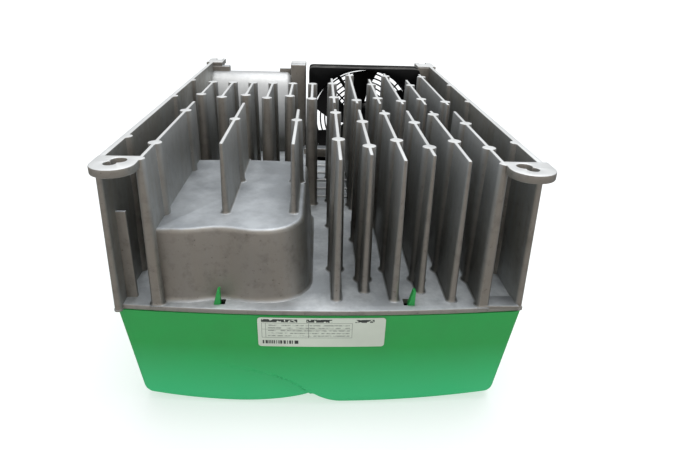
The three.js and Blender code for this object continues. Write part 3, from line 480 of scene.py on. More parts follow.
castLooks = {"casting": castLook, "plate_casting": plateLook, "fin_casting": finLook,
             "bright_casting": brightLook, "choke_casting": chokeLook}
finishes = {name: mouldedPlastic(name, look) for name, look in plasticLooks.items()}
finishes.update({name: plainMetal(name, look) for name, look in metalLooks.items()})
finishes.update({name: castAluminium(name, look) for name, look in castLooks.items()})
finishes["circuit_board"] = circuitBoard()
finishes["capacitor_sleeve"] = sleeveFilm()
finishes["display_window"] = tintedWindow()
finishes["label"] = labelFilm(*boxOf("rating_label"))
slotOf = {row["node"]: row["material_slot"] for row in frame["record"]["subparts"]}
for name, cadNode in nodes.items():
    cadNode.data.materials.clear()
    cadNode.data.materials.append(finishes[slotOf[name]])
print("materials made:", len(finishes))

# A shape is a pair: an array of points in millimetres, and a list of faces.


def gridFaces(rows, columns, wrapRows=False):
    # quads between neighbouring rows of a grid whose columns run round and close
    r = np.arange(rows if wrapRows else rows - 1)[:, None]
    c = np.arange(columns)[None, :]
    nextRow, nextColumn = (r + 1) % rows, (c + 1) % columns
    corners = [r * columns + c, r * columns + nextColumn, nextRow * columns + nextColumn,
               nextRow * columns + c]
    return np.stack(corners, -1).reshape(-1, 4).tolist()


def loft(rings):
    # a closed body through rings of points, with a flat cap at each end
    rings = np.asarray(rings, float)
    rows, columns = rings.shape[:2]
    faces = gridFaces(rows, columns)
    faces.append(list(range(columns))[::-1])
    faces.append(list(range((rows - 1) * columns, rows * columns)))
    return outward((rings.reshape(-1, 3), faces))


def ringBody(rings):
    # a body like a picture frame: the rings run round its section and the last joins the first
    rings = np.asarray(rings, float)
    rows, columns = rings.shape[:2]
    return outward((rings.reshape(-1, 3), gridFaces(rows, columns, wrapRows=True)))


def turnAxes(a, b, c, axis):
    # puts section coordinates (a, b) and depth c on the axes, keeping them right-handed
    order = {"z": (a, b, c), "x": (c, a, b), "y": (b, c, a)}[axis]
    return np.stack(np.broadcast_arrays(*order), -1)


def gathered(shapes):
    points, faces, start = [], [], 0
    for p, f in shapes:
        points.append(p)
        faces.extend([[i + start for i in face] for face in f])
        start += len(p)
    return np.concatenate(points), faces


def outlineNormals(outline):
    # outward normal at each point of an anticlockwise outline, lengthened at corners so that
    # offsets stay parallel
    def square(step):
        across = np.stack([step[:, 1], -step[:, 0]], -1)
        return across / np.linalg.norm(across, axis=1)[:, None]

    n0, n1 = square(outline - np.roll(outline, 1, 0)), square(np.roll(outline, -1, 0) - outline)
    return (n0 + n1) / np.maximum(1 + (n0 * n1).sum(1), 0.35)[:, None]


def edgeSteps(low, high, radius, steps=4):
    # (height, inset) pairs up the side of a slab whose two rims are quarter rounds
    t = np.linspace(0, math.pi / 2, steps + 1)
    rise, inset = radius * (1 - np.cos(t)), radius * (1 - np.sin(t))
    return list(zip(low + rise, inset)) + list(zip(high - rise[::-1], inset[::-1]))


def outward(shape):
    # turns the faces of a closed body round where its signed volume comes out negative
    points, faces = shape
    total = 0.0
    quads = np.array([f for f in faces if len(f) == 4])
    others = [f for f in faces if len(f) != 4]
    p = points[quads]
    total += (p[:, 0] * np.cross(p[:, 1], p[:, 2])).sum() + (p[:, 0] * np.cross(p[:, 2], p[:, 3])).sum()
    for f in others:
        q = points[f]
        total += (q[0] * np.cross(q[1:-1], q[2:])).sum()
    return shape if total > 0 else (points, [list(f)[::-1] for f in faces])


def slab(outline, low, high, radius=0.5, axis="z", steps=4):
    # an outline carried along an axis, with rounded rims
    outline = np.asarray(outline, float)
    normals = outlineNormals(outline)
    rings = []
    for height, inset in edgeSteps(low, high, radius, steps):
        flat = outline - normals * inset
        rings.append(turnAxes(flat[:, 0], flat[:, 1], np.full(len(flat), height), axis))
    return loft(rings)


def roundedOutline(a, b, radius, steps=5):
    # rectangle from (a0, b0) to (a1, b1) with round corners, anticlockwise
    (a0, a1), (b0, b1) = a, b
    t = np.linspace(0, math.pi / 2, steps + 1)
    corners = [(a1 - radius, b0 + radius, -math.pi / 2), (a1 - radius, b1 - radius, 0),
               (a0 + radius, b1 - radius, math.pi / 2), (a0 + radius, b0 + radius, math.pi)]
    return np.concatenate([np.stack([x + radius * np.cos(t + turn), y + radius * np.sin(t + turn)], -1)
                           for x, y, turn in corners])


def softBox(x, y, z, radius=0.6):
    # a block whose edges are all rounded
    return slab(roundedOutline(x, y, radius * 1.2, 4), *z, radius, "z", 3)


def turned(profile, centre, axis="z", steps=48):
    # a profile of (radius, height) rows turned about an axis through a centre
    profile = np.asarray(profile, float)
    t = np.linspace(0, 2 * math.pi, steps, endpoint=False)
    a, b = profile[:, :1] * np.cos(t), profile[:, :1] * np.sin(t)
    c = np.repeat(profile[:, 1:], steps, 1)
    return loft(turnAxes(a, b, c, axis) + np.asarray(centre, float))


def turnedRing(profile, centre, axis="z", steps=48):
    # the same for a closed profile that stays clear of the axis
    return ringBody(turned(profile, centre, axis, steps)[0].reshape(len(profile), -1, 3))


def wireCircle(centre, radius, thick):
    # a round wire bent into a circle about the y axis: a closed circular profile turned
    s = np.linspace(0, 2 * math.pi, 10, endpoint=False)
    return turnedRing(np.stack([radius + thick * np.cos(s), thick * np.sin(s)], -1), centre, "y", 96)


def piece(name, shape, finish, body=chassis, replaces=(), sharp=32.0):
    points, faces = shape
    mesh = bpy.data.meshes.new(name)
    mesh.from_pydata((np.asarray(points) * mm).tolist(), [], faces)
    mesh.shade_smooth()
    mesh.set_sharp_from_angle(angle=math.radians(sharp))
    mesh.materials.append(finishes[finish])
    made = bpy.data.objects.new(name, mesh)
    bpy.context.scene.collection.objects.link(made)
    if replaces:
        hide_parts(*replaces)
    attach(made, body)
    return made


def cutAway(made, tools):
    # takes closed tool shapes out of a piece, and keeps the result as its mesh
    tool = bpy.data.objects.new("tool", bpy.data.meshes.new("tool"))
    points, faces = gathered(tools)
    tool.data.from_pydata((points * mm).tolist(), [], faces)
    bpy.context.scene.collection.objects.link(tool)
    modifier = made.modifiers.new("cut", "BOOLEAN")
    modifier.operation, modifier.solver, modifier.object = "DIFFERENCE", "EXACT", tool
    modifier.use_self = True
    bpy.context.view_layer.update()
    result = bpy.data.meshes.new_from_object(made.evaluated_get(bpy.context.evaluated_depsgraph_get()))
    made.modifiers.clear()
    old, made.data = made.data, result
    bpy.data.meshes.remove(old)
    made.data.name = made.name
    made.data.set_sharp_from_angle(angle=math.radians(32.0))
    bpy.data.objects.remove(tool)
    return made


def softened(names, width):
    # copies of CAD nodes with their doubles merged and a narrow bevel on every edge
    for name in names:
        cadNode = nodes[name]
        mesh = bpy.data.meshes.new(name + "_soft")
        work = bmesh.new()
        work.from_mesh(cadNode.data)
        bmesh.ops.remove_doubles(work, verts=work.verts, dist=1e-6)
        bmesh.ops.dissolve_limit(work, angle_limit=math.radians(1.0), verts=work.verts, edges=work.edges)
        work.to_mesh(mesh)
        work.free()
        mesh.shade_smooth()
        mesh.set_sharp_from_angle(angle=math.radians(40.0))
        mesh.materials.clear()
        mesh.materials.append(finishes[slotOf[name]])
        made = bpy.data.objects.new(name + "_soft", mesh)
        bpy.context.scene.collection.objects.link(made)
        bevel = made.modifiers.new("edges", "BEVEL")
        bevel.width, bevel.segments, bevel.limit_method = width * mm, 2, "ANGLE"
        bevel.angle_limit = math.radians(40.0)
        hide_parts(name)
        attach(made, cadNode["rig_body"])



cast = {
    "plateTop": 78.0, "plateBottom": 74.5, "nearEnd": -180.8, "bow": 7.0, "farEnd": 167.0, "half": 125.0,
    "pitch": 18.1, "tipHalf": 1.1, "footHalf": 2.6, "columnTip": 4.2, "columnFoot": 5.3, "flare": 1.8,
    "tipRound": 0.45, "tipDrop": 0.08, "roof": 124.7,
}


def smoothMax(a, b, k):
    # the larger of two values, with the step between them rounded over k
    return np.maximum(a, b) + np.maximum(k - np.abs(a - b), 0) ** 2 / (4 * k)


def finShape(look):
    # An upright fin. Its outline at each height runs up one side and back down the other: the half
    # width is the smooth maximum of the tapering web and of each round column, both ends are half
    # round, and a quarter-round flare joins it to the plate.
    base, top = look["base"], mountFace - cast["tipDrop"]
    near, far = look["span"]
    columns = look.get("columns", [])
    flare, tip = look.get("flare", cast["flare"]), cast["tipRound"]
    heights = [base - 1, base] + [base + flare * f for f in (0.12, 0.3, 0.55, 1.0)]
    heights += list(np.linspace(base + flare, top - tip, 5)[1:])
    heights += [top - tip * 0.5, top - tip * 0.15, top]
    z = np.array(heights)[:, None]
    rise = np.clip((z - base) / (top - base), 0, 1)
    foot = np.clip(1 - (z - base) / flare, 0, 1)
    outset = flare * 0.8 * (1 - np.sqrt(np.clip(1 - foot ** 2, 0, 1)))
    intoTip = np.clip((z - (top - tip)) / tip, 0, 1)
    outset = outset - tip * 0.8 * (1 - np.sqrt(np.clip(1 - intoTip ** 2, 0, 1)))
    web = look.get("footHalf", cast["footHalf"]) * (1 - rise) + look.get("tipHalf", cast["tipHalf"]) * rise
    lean = look.get("lean", 0.0)
    along = [np.linspace(near + 3, far - 3, max(8, int((far - near) / 12)))]
    for y, grow in columns:
        along.append(y + (cast["columnFoot"] + grow + 2.5) * np.linspace(-1, 1, 23))
    inner = np.unique(np.round(np.concatenate(along), 3))
    inner = inner[(inner > near + 2.8) & (inner < far - 2.8)]
    t = np.linspace(0, math.pi / 2, 7)[:-1]
    flat = np.zeros(len(inner))
    y0 = np.concatenate([np.full(len(t), near), inner, np.full(len(t), far)])
    half = web + outset
    shift = np.concatenate([1 - np.cos(t), flat, -(1 - np.cos(t[::-1]))])
    flareShift = np.concatenate([np.full(len(t), -1.0), flat, np.full(len(t), 1.0)])
    y = y0[None, :] + shift[None, :] * half + flareShift[None, :] * outset * 0.999
    roundEnd = np.concatenate([np.sin(t), flat + 1, np.sin(t[::-1])])
    plain = half * roundEnd[None, :]
    widths = {}
    for side in (1, -1):
        wide = plain.copy()
        if look.get("columnSide", side) == side:
            for place, grow in columns:
                radius = cast["columnFoot"] * (1 - rise) + cast["columnTip"] * rise + grow + outset
                reach = np.sqrt(np.clip(radius ** 2 - (y - place) ** 2, 0, None))
                reach = np.where(reach > 0, reach + look.get("columnShift", 0.0), 0.0)
                straight = roundEnd[None, :] > 0.999
                wide = np.where(straight, smoothMax(wide, reach, 0.9), np.maximum(wide, reach))
        widths[side] = wide
    centre = look["x"] + lean * rise
    right = np.stack([centre + widths[1], y, z + 0 * y], -1)
    left = np.stack([centre - widths[-1], y, z + 0 * y], -1)[:, ::-1]
    return loft(np.concatenate([right[:, 1:], left[:, :-1]], 1))


def finRows():
    pitch, base = cast["pitch"], cast["plateTop"]
    fins = []

    def add(x, span, columns, **more):
        pairs = [c if isinstance(c, tuple) else (c, 0.0) for c in columns]  # place, and extra radius
        fins.append(finShape({"base": base, **more, "x": x, "span": span, "columns": pairs}))

    for i in range(5):
        add((i + 0.5) * pitch, *[((-170.0, -48.6), [-129, -59]), ((-160.2, -48.6), [-142.2, -84])][i % 2])
    for side, column, far in ((1, -84, -48.6), (-1, -60.5, -31.0)):
        add(side * 5.5 * pitch, (-175.6, far), [(-172.4, -1.3), -142.2, column])
    for i in range(6):
        x = (i + 0.5) * pitch
        add(x, *[((-27.0, 80.0), [-6, 54]), ((-27.0, 114.0), [-15, 100])][i % 2])
        add(-x, *[((-17.0, 55.0), [-12.6, 51]), ((-8.0, 55.0), [-3.6, 51])][i % 2])
    slope = (cast["roof"] - base) / (mountFace - base)
    footHalf = cast["footHalf"] - (cast["footHalf"] - cast["tipHalf"]) * slope + 0.35
    for x, span in ((-61.0, (-143.0, -33.0)), (-18.4, (-141.7, -51.2))):
        add(x, span, [(-83, -0.4)], base=cast["roof"], footHalf=footHalf)
    return gathered(fins)


railLook = {"x": 122.75, "lean": 1.75, "footHalf": 2.25, "tipHalf": 1.8, "near": {1: -174.0, -1: -178.0}}


def railShapes():
    # the two side rails lean in, with half-round columns on their inner faces
    look = railLook
    return gathered([finShape({
        "x": side * look["x"], "lean": -side * look["lean"], "span": (look["near"][side], cast["farEnd"]),
        "base": cast["plateTop"] - 2.0, "footHalf": look["footHalf"], "tipHalf": look["tipHalf"],
        "columnSide": -side, "columnShift": 1.2, "flare": 0.5,
        "columns": [(y, -0.6) for y in (-130, -12, 58)],
    }) for side in (1, -1)])


housing = {
    "left": -100.8, "right": -11.6, "front": -166.5, "rear": -35.5, "flare": 3.5, "corner": 25.0,
    "rearCorner": 14.0, "valley": (-62.0, 22.0, 4.0), "bulge": (-61.0, 2.5),
    "rim": 3.0, "foot": 3.0,
}


def housingOutline(grow):
    # two lobes at the near end with a shallow valley between them, a wide round near right corner,
    # and a rear wall that swells a little at the fin
    look = housing
    vx, vHalf, vDeep = look["valley"]
    right, rear, left = look["right"] + grow, look["rear"] + grow, look["left"]

    def front(x):
        dip = np.clip(np.abs(x - vx) / vHalf, 0, 1)
        return look["front"] - grow + vDeep * np.cos(dip * math.pi / 2) ** 2

    corner = look["corner"]
    x = np.linspace(left + 0.5, right - corner, 60)
    near = np.stack([x, front(x)], -1)
    t = np.linspace(0, math.pi / 2, 22)[1:]
    pivot = front(np.array(right - corner)) + corner
    nearCorner = np.stack([right - corner + corner * np.sin(t), pivot - corner * np.cos(t)], -1)
    rc = look["rearCorner"]
    farCorner = np.stack([right + rc * (np.cos(t) - 1), rear + rc * (np.sin(t) - 1)], -1)
    side = np.stack([np.full(14, right), np.linspace(pivot, rear - rc, 16)[1:-1]], -1)
    bx, bDeep = look["bulge"]
    back = np.linspace(right - rc, left + 0.5, 40)[1:]
    swell = bDeep * np.clip(1 - np.abs(back - bx) / 42, 0, 1)
    backWall = np.stack([back, rear + swell], -1)
    leftWall = np.stack([np.full(10, left), np.linspace(rear, front(np.array(left)), 12)[1:-1]], -1)
    return np.concatenate([near, nearCorner, side, farCorner, backWall, leftWall])


def housingShape():
    base, roof, rim, foot = cast["plateTop"], cast["roof"], housing["rim"], housing["foot"]
    rows = [(base - 2, 0.0)]
    for f in np.linspace(1, 0, 5):
        rows.append((base + foot * (1 - f), foot * 0.7 * (1 - math.sqrt(max(0, 1 - f * f)))))
    t = np.linspace(0, math.pi / 2, 7)
    rows += [(z, 0.0) for z in np.linspace(base + foot, roof - rim, 4)[1:]]
    rows += [(roof - rim + rim * math.sin(a), -rim * (1 - math.cos(a))) for a in t[1:]]
    rings = []
    for z, out in rows:
        lean = 1 - min(max((z - base) / (roof - base), 0), 1)
        outline = housingOutline(housing["flare"] * lean)
        flat = outline + outlineNormals(outline) * out
        rings.append(np.column_stack([flat, np.full(len(flat), z)]))
    return loft(rings)


chokeBox = {
    "left": -122.5, "right": -34.5, "near": 138.0, "top": 161.5, "reach": 29.0, "drop": 45.0, "round": 5.0,
}


def chokeShape():
    # a section in y and z with a quarter-ellipse shoulder towards the fins, carried along x;
    # towards each end it is drawn in along a quarter circle so that the ends are rounded
    look = chokeBox
    t = np.linspace(0, math.pi / 2, 25)
    near, base = look["near"], cast["plateTop"] - 2
    shoulderY = near + look["reach"] * (1 - np.cos(t))
    shoulderZ = look["top"] + look["drop"] * (np.sin(t) - 1)
    far = cast["farEnd"] - 0.5
    section = np.concatenate([
        [[far, base], [far, look["top"] - 1]], np.stack([shoulderY, shoulderZ], -1)[::-1][1:],
        np.stack([np.full(9, near), np.linspace(shoulderZ[0], base, 10)[1:]], -1),
    ])
    s = np.linspace(0, math.pi / 2, 6)
    r = look["round"]
    stations = [(look["left"] + r * (1 - math.cos(a)), r * (1 - math.sin(a))) for a in s]
    stations += [(look["right"] - r * (1 - math.cos(a)), r * (1 - math.sin(a))) for a in s[::-1]]
    middle, size = np.array([far, base]), np.array([far - near, look["top"] - base])
    rings = []
    for x, inset in stations:
        flat = middle + (section - middle) * (size - inset) / size
        rings.append(turnAxes(flat[:, 0], flat[:, 1], np.full(len(flat), x), "x"))
    return loft(rings)


nearSlot, farSlot = (109.5, -176.2, 4.2, 112.5, -181.5, 3.3), (116.0, 187.5, 3.4)
farFoot = {"back": 164.0, "tip": 193.3, "slot": farSlot, "corner": 5.0}
footLooks = {
    "near_left": {"side": -1, "back": -168.5, "tip": -193.3, "x": (99.0, 123.2), "slot": nearSlot},
    "near_right": {"side": 1, "back": -168.5, "tip": -192.5, "x": (99.9, 125.4), "slot": nearSlot},
    "far_left": {**farFoot, "side": -1, "x": (109.5, 126.5)},
    "far_right": {**farFoot, "side": 1, "x": (106.5, 126.5)},
}
footThick, footRim = 4.7, 0.7


def keyholeFoot(look):
    # a tongue with a half-round tip and a slot through it: the slot's edge and the tongue's edge are both
    # worked out as the reach from the slot's middle in each direction, and joined by rings round the section
    x0, x1 = look["x"]
    ax, ay, ar, bx, by, br = look["slot"]
    middle = np.array([(ax + bx) / 2, (ay + by) / 2])
    half = (x1 - x0) / 2
    t = np.linspace(0, 2 * math.pi, 160, endpoint=False)
    d = np.stack([np.cos(t), np.sin(t)], -1)

    def reachCircle(cx, cy, r):
        off = middle - np.array([cx, cy])
        b = d @ off
        inside = b * b - (off @ off - r * r)
        return np.where(inside > 0, -b + np.sqrt(np.maximum(inside, 0)), 0)

    slot = np.maximum(reachCircle(ax, ay, ar), reachCircle(bx, by, br))
    across = np.where(d[:, 0] > 0, x1 - middle[0], middle[0] - x0) / np.maximum(np.abs(d[:, 0]), 1e-9)
    back = np.where(d[:, 1] > 0, (look["back"] - middle[1]) / np.maximum(d[:, 1], 1e-9), 1e9)
    straight = np.minimum(across, back)
    tipCentre = look["tip"] + half
    pastCentre = middle[1] + straight * d[:, 1] < tipCentre
    outer = np.where(pastCentre, reachCircle((x0 + x1) / 2, tipCentre, half), straight)
    top, low, rim = mountFace, mountFace - footThick, footRim
    rows = [(slot + rim, low), (outer - rim, low), (outer - rim * 0.3, low + rim * 0.3), (outer, low + rim),
            (outer, top - rim), (outer - rim * 0.3, top - rim * 0.3), (outer - rim, top), (slot + rim, top),
            (slot + rim * 0.3, top - rim * 0.3), (slot, top - rim), (slot, low + rim)]
    rings = [np.column_stack([look["side"] * (middle[0] + reach * d[:, 0]), middle[1] + reach * d[:, 1],
                              np.full(len(t), z)]) for reach, z in rows]
    return ringBody(rings)


def forkedFoot(look):
    # a tongue with two round corners, and a slot open at its tip
    x0, x1 = look["x"]
    ax, ay, ar = look["slot"]
    r, back, tip = look["corner"], look["back"], look["tip"]
    t = np.linspace(0, math.pi / 2, 7)
    s = np.linspace(0, math.pi, 15)
    right = np.stack([x1 - r + r * np.cos(t), tip - r + r * np.sin(t)], -1)
    notch = np.stack([ax + ar * np.cos(s), ay - ar * np.sin(s)], -1)
    thin = min(r, ax - ar - x0 - 0.1)  # the inner prong may be narrower than the corner
    left = np.stack([x0 + thin - thin * np.sin(t), tip - thin + thin * np.cos(t)], -1)
    outline = np.concatenate([[[x0, back], [x1, back]], right, [[ax + ar, tip]], notch,
                              [[ax - ar, tip]], left])
    if look["side"] < 0:
        outline = (outline * [-1, 1])[::-1]
    return slab(outline, mountFace - footThick, mountFace, 0.6)


def plateOutline():
    half, bow = cast["half"], cast["bow"]
    x = np.linspace(-half, half, 49)
    near = np.stack([x, cast["nearEnd"] + bow * (x / half) ** 2], -1)
    far = cast["farEnd"]
    rest = [[half, far], [108, far], [108, 108], [-16, 108], [-16, far], [-half, far]]
    return np.concatenate([near, rest])


plateLow, ribTop = cast["plateTop"] - 1, 79.8
hookHoles = [((x, x + 7), (-173.8, -166.3), (70, 90), 0.3) for x in (-66.3, 50.6)]
postBoxes = [  # each block's spans along x, y and z, and the radius of its edges
    ((106.5, 123), (163, 167), (plateLow, mountFace - 1), 0.8),
    ((-124, -101.5), (163, 172), (plateLow, mountFace - 4), 0.8),
    ((-34.2, -17.7), (160, 175), (cast["plateBottom"], mountFace - 0.4), 1.2),
    ((-34.2, -17.7), (172, 186), (mountFace - footThick, mountFace), 0.8),
    ((-46.5, -34), (164, 167), (158, 165), 0.5),
    ((-121.8, -114), (-166, -163.5), (plateLow, 135.5), 0.5),
    ((100, 122), (-176, -164), (plateLow, 79.2), 0.5),
    ((-19, 111), (130, 144), (74.5, 84), 0.8),
]
wellBoxes = [
    ((-19, 111), (105, 172), (45, 48), 0.6), ((-19, 111), (105, 108), (45, 77), 0.6),
    ((-19, -16), (105, 172), (45, 77), 0.6), ((108, 111), (105, 172), (45, 77), 0.6),
    ((-17, -13), (169.3, 172), (46, 70), 0.4), ((105, 109), (169.3, 172), (46, 70), 0.4),
]
webOutline = [[166.0, 118.0], [188.0, mountFace - 4], [166.0, mountFace - 4]]


def castPiece(name, shape, finish="casting", replaces=()):
    return piece(name, shape, finish, replaces=replaces)


def castingPieces():
    plate = slab(plateOutline(), cast["plateBottom"], cast["plateTop"], 0.7)
    plate = castPiece("heatsink_plate", plate, "plate_casting", replaces=["heatsink_casting"])
    cutAway(plate, [softBox(*hole) for hole in hookHoles])
    castPiece("heatsink_fins", finRows(), "fin_casting")
    castPiece("heatsink_rails", railShapes())
    castPiece("capacitor_housing", housingShape())
    castPiece("choke_housing", chokeShape(), "choke_casting")
    feet = [forkedFoot(look) if "corner" in look else keyholeFoot(look) for look in footLooks.values()]
    castPiece("mounting_feet", gathered(feet))
    webs = [slab(webOutline, x, x + 3, 0.5, "x") for x in (109, -113.5)]
    castPiece("far_end_posts", gathered([softBox(*spans) for spans in postBoxes] + webs))
    ribs = [softBox((-8, 98), (y, y + 2.5), (plateLow, ribTop), 0.8) for y in (1, 21, 43, 65, 87)]
    castPiece("plate_ribs", gathered(ribs), "bright_casting")
    castPiece("fan_well", gathered([softBox(*spans) for spans in wellBoxes]))


castingPieces()
print("casting made")


coverLook = {
    "half": 126.0, "top": 74.5, "sideDraft": 8.5, "nearDraft": 6.0, "farDraft": 4.0, "near": -181.3,
    "bow": 7.0, "far": 167.0, "corner": 7.0, "wall": 2.6, "rim": 5.0, "leftLobe": -56.0, "notch": -5.0,
    "rightLobe": 14.0, "edge": 117.0, "notchHigh": 7.0, "edgeHigh": 4.6, "creaseDeep": 2.0,
    "creaseFrom": -78.0, "creaseFade": 9.0, "screws": 108.0, "screwY": 96.0,
    "keypad": ((-44, 44), (-110, -10)), "hooks": ((-66, -62), (53.2, 57.3)),
}
creaseLine = ([-78.0, -73.5, -45.4, -29.5, -20.0, -12.2, -5.0], [36.2, 35.8, 30.3, 25.4, 20.5, 14.6, 6.5])


def faceHeight(x):
    # height of the front face over the floor: two low domes that meet in a notch
    look = coverLook
    left, notch, right = look["leftLobe"], look["notch"], look["rightLobe"]
    outerLeft = look["edgeHigh"] * ((x - left) / (-look["edge"] - left)) ** 2
    innerLeft = look["notchHigh"] * (np.clip(x - left, 0, None) / (notch - left)) ** 2
    innerRight = look["notchHigh"] * (np.clip(right - x, 0, None) / (right - notch)) ** 2
    outerRight = look["edgeHigh"] * ((x - right) / (look["edge"] - right)) ** 2
    return np.select([x < left, x < notch, x < right], [outerLeft, innerLeft, innerRight], outerRight)


def nearFace(x, z):
    look = coverLook
    return look["near"] + look["nearDraft"] * (1 - z / look["top"]) + look["bow"] * (x / look["half"]) ** 2


def creaseStep(x, z):
    # below the swept crease the near face steps back, most at the notch, and comes forward again lower down
    line = np.interp(x, *creaseLine)
    below = np.clip((line - z) / 0.9, 0, 1)
    strength = np.clip((x - coverLook["creaseFrom"]) / 50, 0, 1) * (x <= coverLook["notch"] + 0.5)
    fade = np.exp(-np.clip(line - z, 0, None) / coverLook["creaseFade"])
    return coverLook["creaseDeep"] * below * strength * fade


coverStations, coverSides = 200, 18


def coverLoop(z, inset):
    # the cover's outline at a height, which may differ from point to point, drawn in by an inset:
    # near edge from left to right, right side, far edge from right to left, left side
    look = coverLook
    n, m = coverStations, coverSides
    arc = 10
    u = np.linspace(-1, 1, n - 2 * arc)
    t = np.linspace(math.pi / 2, 0, arc + 1)[:-1]
    zNear, zFar = z[:n], z[n + m:2 * n + m][::-1]

    def row(zRow, sign):
        half = look["half"] - look["sideDraft"] * (1 - zRow / look["top"]) - inset
        radius = max(look["corner"] - inset, 0.8)
        straight = u * (half[arc:-arc] - radius)
        x = np.concatenate([-(half[:arc] - radius) - radius * np.sin(t), straight,
                            (half[-arc:] - radius) + radius * np.sin(t[::-1])])
        if sign < 0:
            corner = nearFace(half - radius, zRow) + inset + radius
            y = nearFace(x, zRow) + inset + creaseStep(x, zRow)
        else:
            corner = look["far"] - look["farDraft"] * (1 - zRow / look["top"]) - inset - radius
            y = corner + radius
        y[:arc] = corner[:arc] + sign * radius * np.cos(t)
        y[-arc:] = corner[-arc:] + sign * radius * np.cos(t[::-1])
        return np.stack([x, y], -1)

    near, far = row(zNear, -1), row(zFar, 1)
    v = np.linspace(0, 1, m + 2)[1:-1, None]
    right = near[-1] * (1 - v) + far[-1] * v
    left = near[0] * (1 - v) + far[0] * v
    return np.concatenate([near, right, far[::-1], left[::-1]])


def coverSkin(inset, rim, wallRows):
    # one skin of the cover: a grid for the front face, quarter-round rings at its edge, and the walls
    n, m = coverStations, coverSides
    length = 2 * (n + m)

    def ring(lift, more):
        flat = coverLoop(np.full(length, 3.0), inset + more)
        for settle in (1, 2):  # the outline depends on the height, and the height on the outline
            flat = coverLoop(faceHeight(flat[:, 0]) + inset + lift, inset + more)
        return np.column_stack([flat, faceHeight(flat[:, 0]) + inset + lift])

    first = ring(0.0, rim)
    near, far = first[:n], first[n + m:2 * n + m][::-1]
    v = np.linspace(0, 1, m + 2)[:, None, None]
    face = near[None] * (1 - v) + far[None] * v
    face[:, :, 2] = faceHeight(face[:, :, 0]) + inset
    points = [face.reshape(-1, 3)]
    index = np.arange((m + 2) * n).reshape(m + 2, n)
    loop = np.concatenate([index[0], index[1:-1, -1], index[-1][::-1], index[1:-1, 0][::-1]])
    a, b, c, d = index[:-1, :-1], index[:-1, 1:], index[1:, 1:], index[1:, :-1]
    faces = np.stack([d, c, b, a], -1).reshape(-1, 4).tolist()
    t = np.linspace(0, math.pi / 2, 6)[1:]
    rings = [ring(rim * (1 - math.cos(s)), rim * (1 - math.sin(s))) for s in t]
    start = rings[-1][:, 2]
    for share in np.linspace(0, 1, wallRows + 1)[1:]:
        z = start * (1 - share) + coverLook["top"] * share
        rings.append(np.column_stack([coverLoop(z, inset), z]))
    count = index.size
    for made in rings:
        fresh = np.arange(count, count + length)
        count += length
        points.append(made)
        faces += np.stack([loop, np.roll(loop, -1), np.roll(fresh, -1), fresh], -1).tolist()
        loop = fresh
    return np.concatenate(points), faces, loop


def coverPieces():
    look = coverLook
    outer, outerFaces, outerRim = coverSkin(0.0, look["rim"], 44)
    inner, innerFaces, innerRim = coverSkin(look["wall"], 2.4, 5)
    start = len(outer)
    innerFaces = [[i + start for i in face[::-1]] for face in innerFaces]
    innerRim = innerRim + start
    rimFaces = np.stack([outerRim, np.roll(outerRim, -1), np.roll(innerRim, -1), innerRim], -1).tolist()
    shape = (np.concatenate([outer, inner]), outerFaces + innerFaces + rimFaces)
    cover = piece("cover_shell", shape, "green_cover", replaces=["front_cover"], sharp=24.0)
    keyX, keyY = look["keypad"]
    tools = [
        softBox(keyX, keyY, (-3, 20), 1.0), softBox((-100.8, 100.8), (33.2, 158.3), (-3, 12), 1.0),
        softBox((-20, 112), (148, 176), (44.4, 80), 0.5), softBox((-85, 85), (150, 172), (16.5, 39.5), 0.5),
    ]
    screwPlaces = [(side * look["screws"], look["screwY"], 0) for side in (-1, 1)]
    cutAway(cover, tools + [turned([(4.4, -4), (4.4, 12)], place) for place in screwPlaces])
    outside = roundedOutline((keyX[0] - 2.5, keyX[1] + 2.5), (keyY[0] - 2.5, keyY[1] + 2.5), 4.0)
    inside = roundedOutline(keyX, keyY, 1.5)
    rim = ringBody([np.column_stack([outline, np.full(len(outline), z)]) for outline, z in
                    ((outside, 9.5), (outside, 2.2), (inside, 2.2), (inside, 9.5))])
    hooks = []
    for x0, x1 in look["hooks"]:
        wedge = [(58, x0), (78, x0), (88, x1 - 1.4), (88, x1), (58, x1)]
        hooks.append(slab(wedge, -174.2, -169.6, 0.35, "y"))
    tube = [(2.4, 23.4), (2.4, 19.2), (4.5, 19), (4.5, 5.5), (6.2, 5.5), (6.2, 23.4)]
    tubes = [turnedRing(tube, place) for place in screwPlaces]
    lugs = [softBox(x, (147, 157), (4.6, 12.5), 0.6) for x in ((-105.8, -100.8), (100.8, 105.8))]
    piece("cover_details", gathered([rim, *hooks, *tubes, *lugs]), "green_cover")


def sheetBody(front, back):
    # a closed body between two grids of the same size, stitched along their border
    rows, columns = front.shape[:2]
    index = np.arange(rows * columns).reshape(rows, columns)
    a, b, c, d = index[:-1, :-1], index[:-1, 1:], index[1:, 1:], index[1:, :-1]
    faces = np.stack([a, b, c, d], -1).reshape(-1, 4)
    count = index.size
    loop = np.concatenate([index[0, :-1], index[:-1, -1], index[-1, 1:][::-1], index[1:, 0][::-1]])
    onward = np.roll(loop, -1)
    border = np.stack([loop, loop + count, onward + count, onward], -1)
    points = np.concatenate([front.reshape(-1, 3), back.reshape(-1, 3)])
    return outward((points, faces.tolist() + (faces[:, ::-1] + count).tolist() + border.tolist()))


filmLook = {"half": 39.2, "low": 51.0, "high": 73.5, "corner": 2.0, "front": 0.55, "back": 0.2}


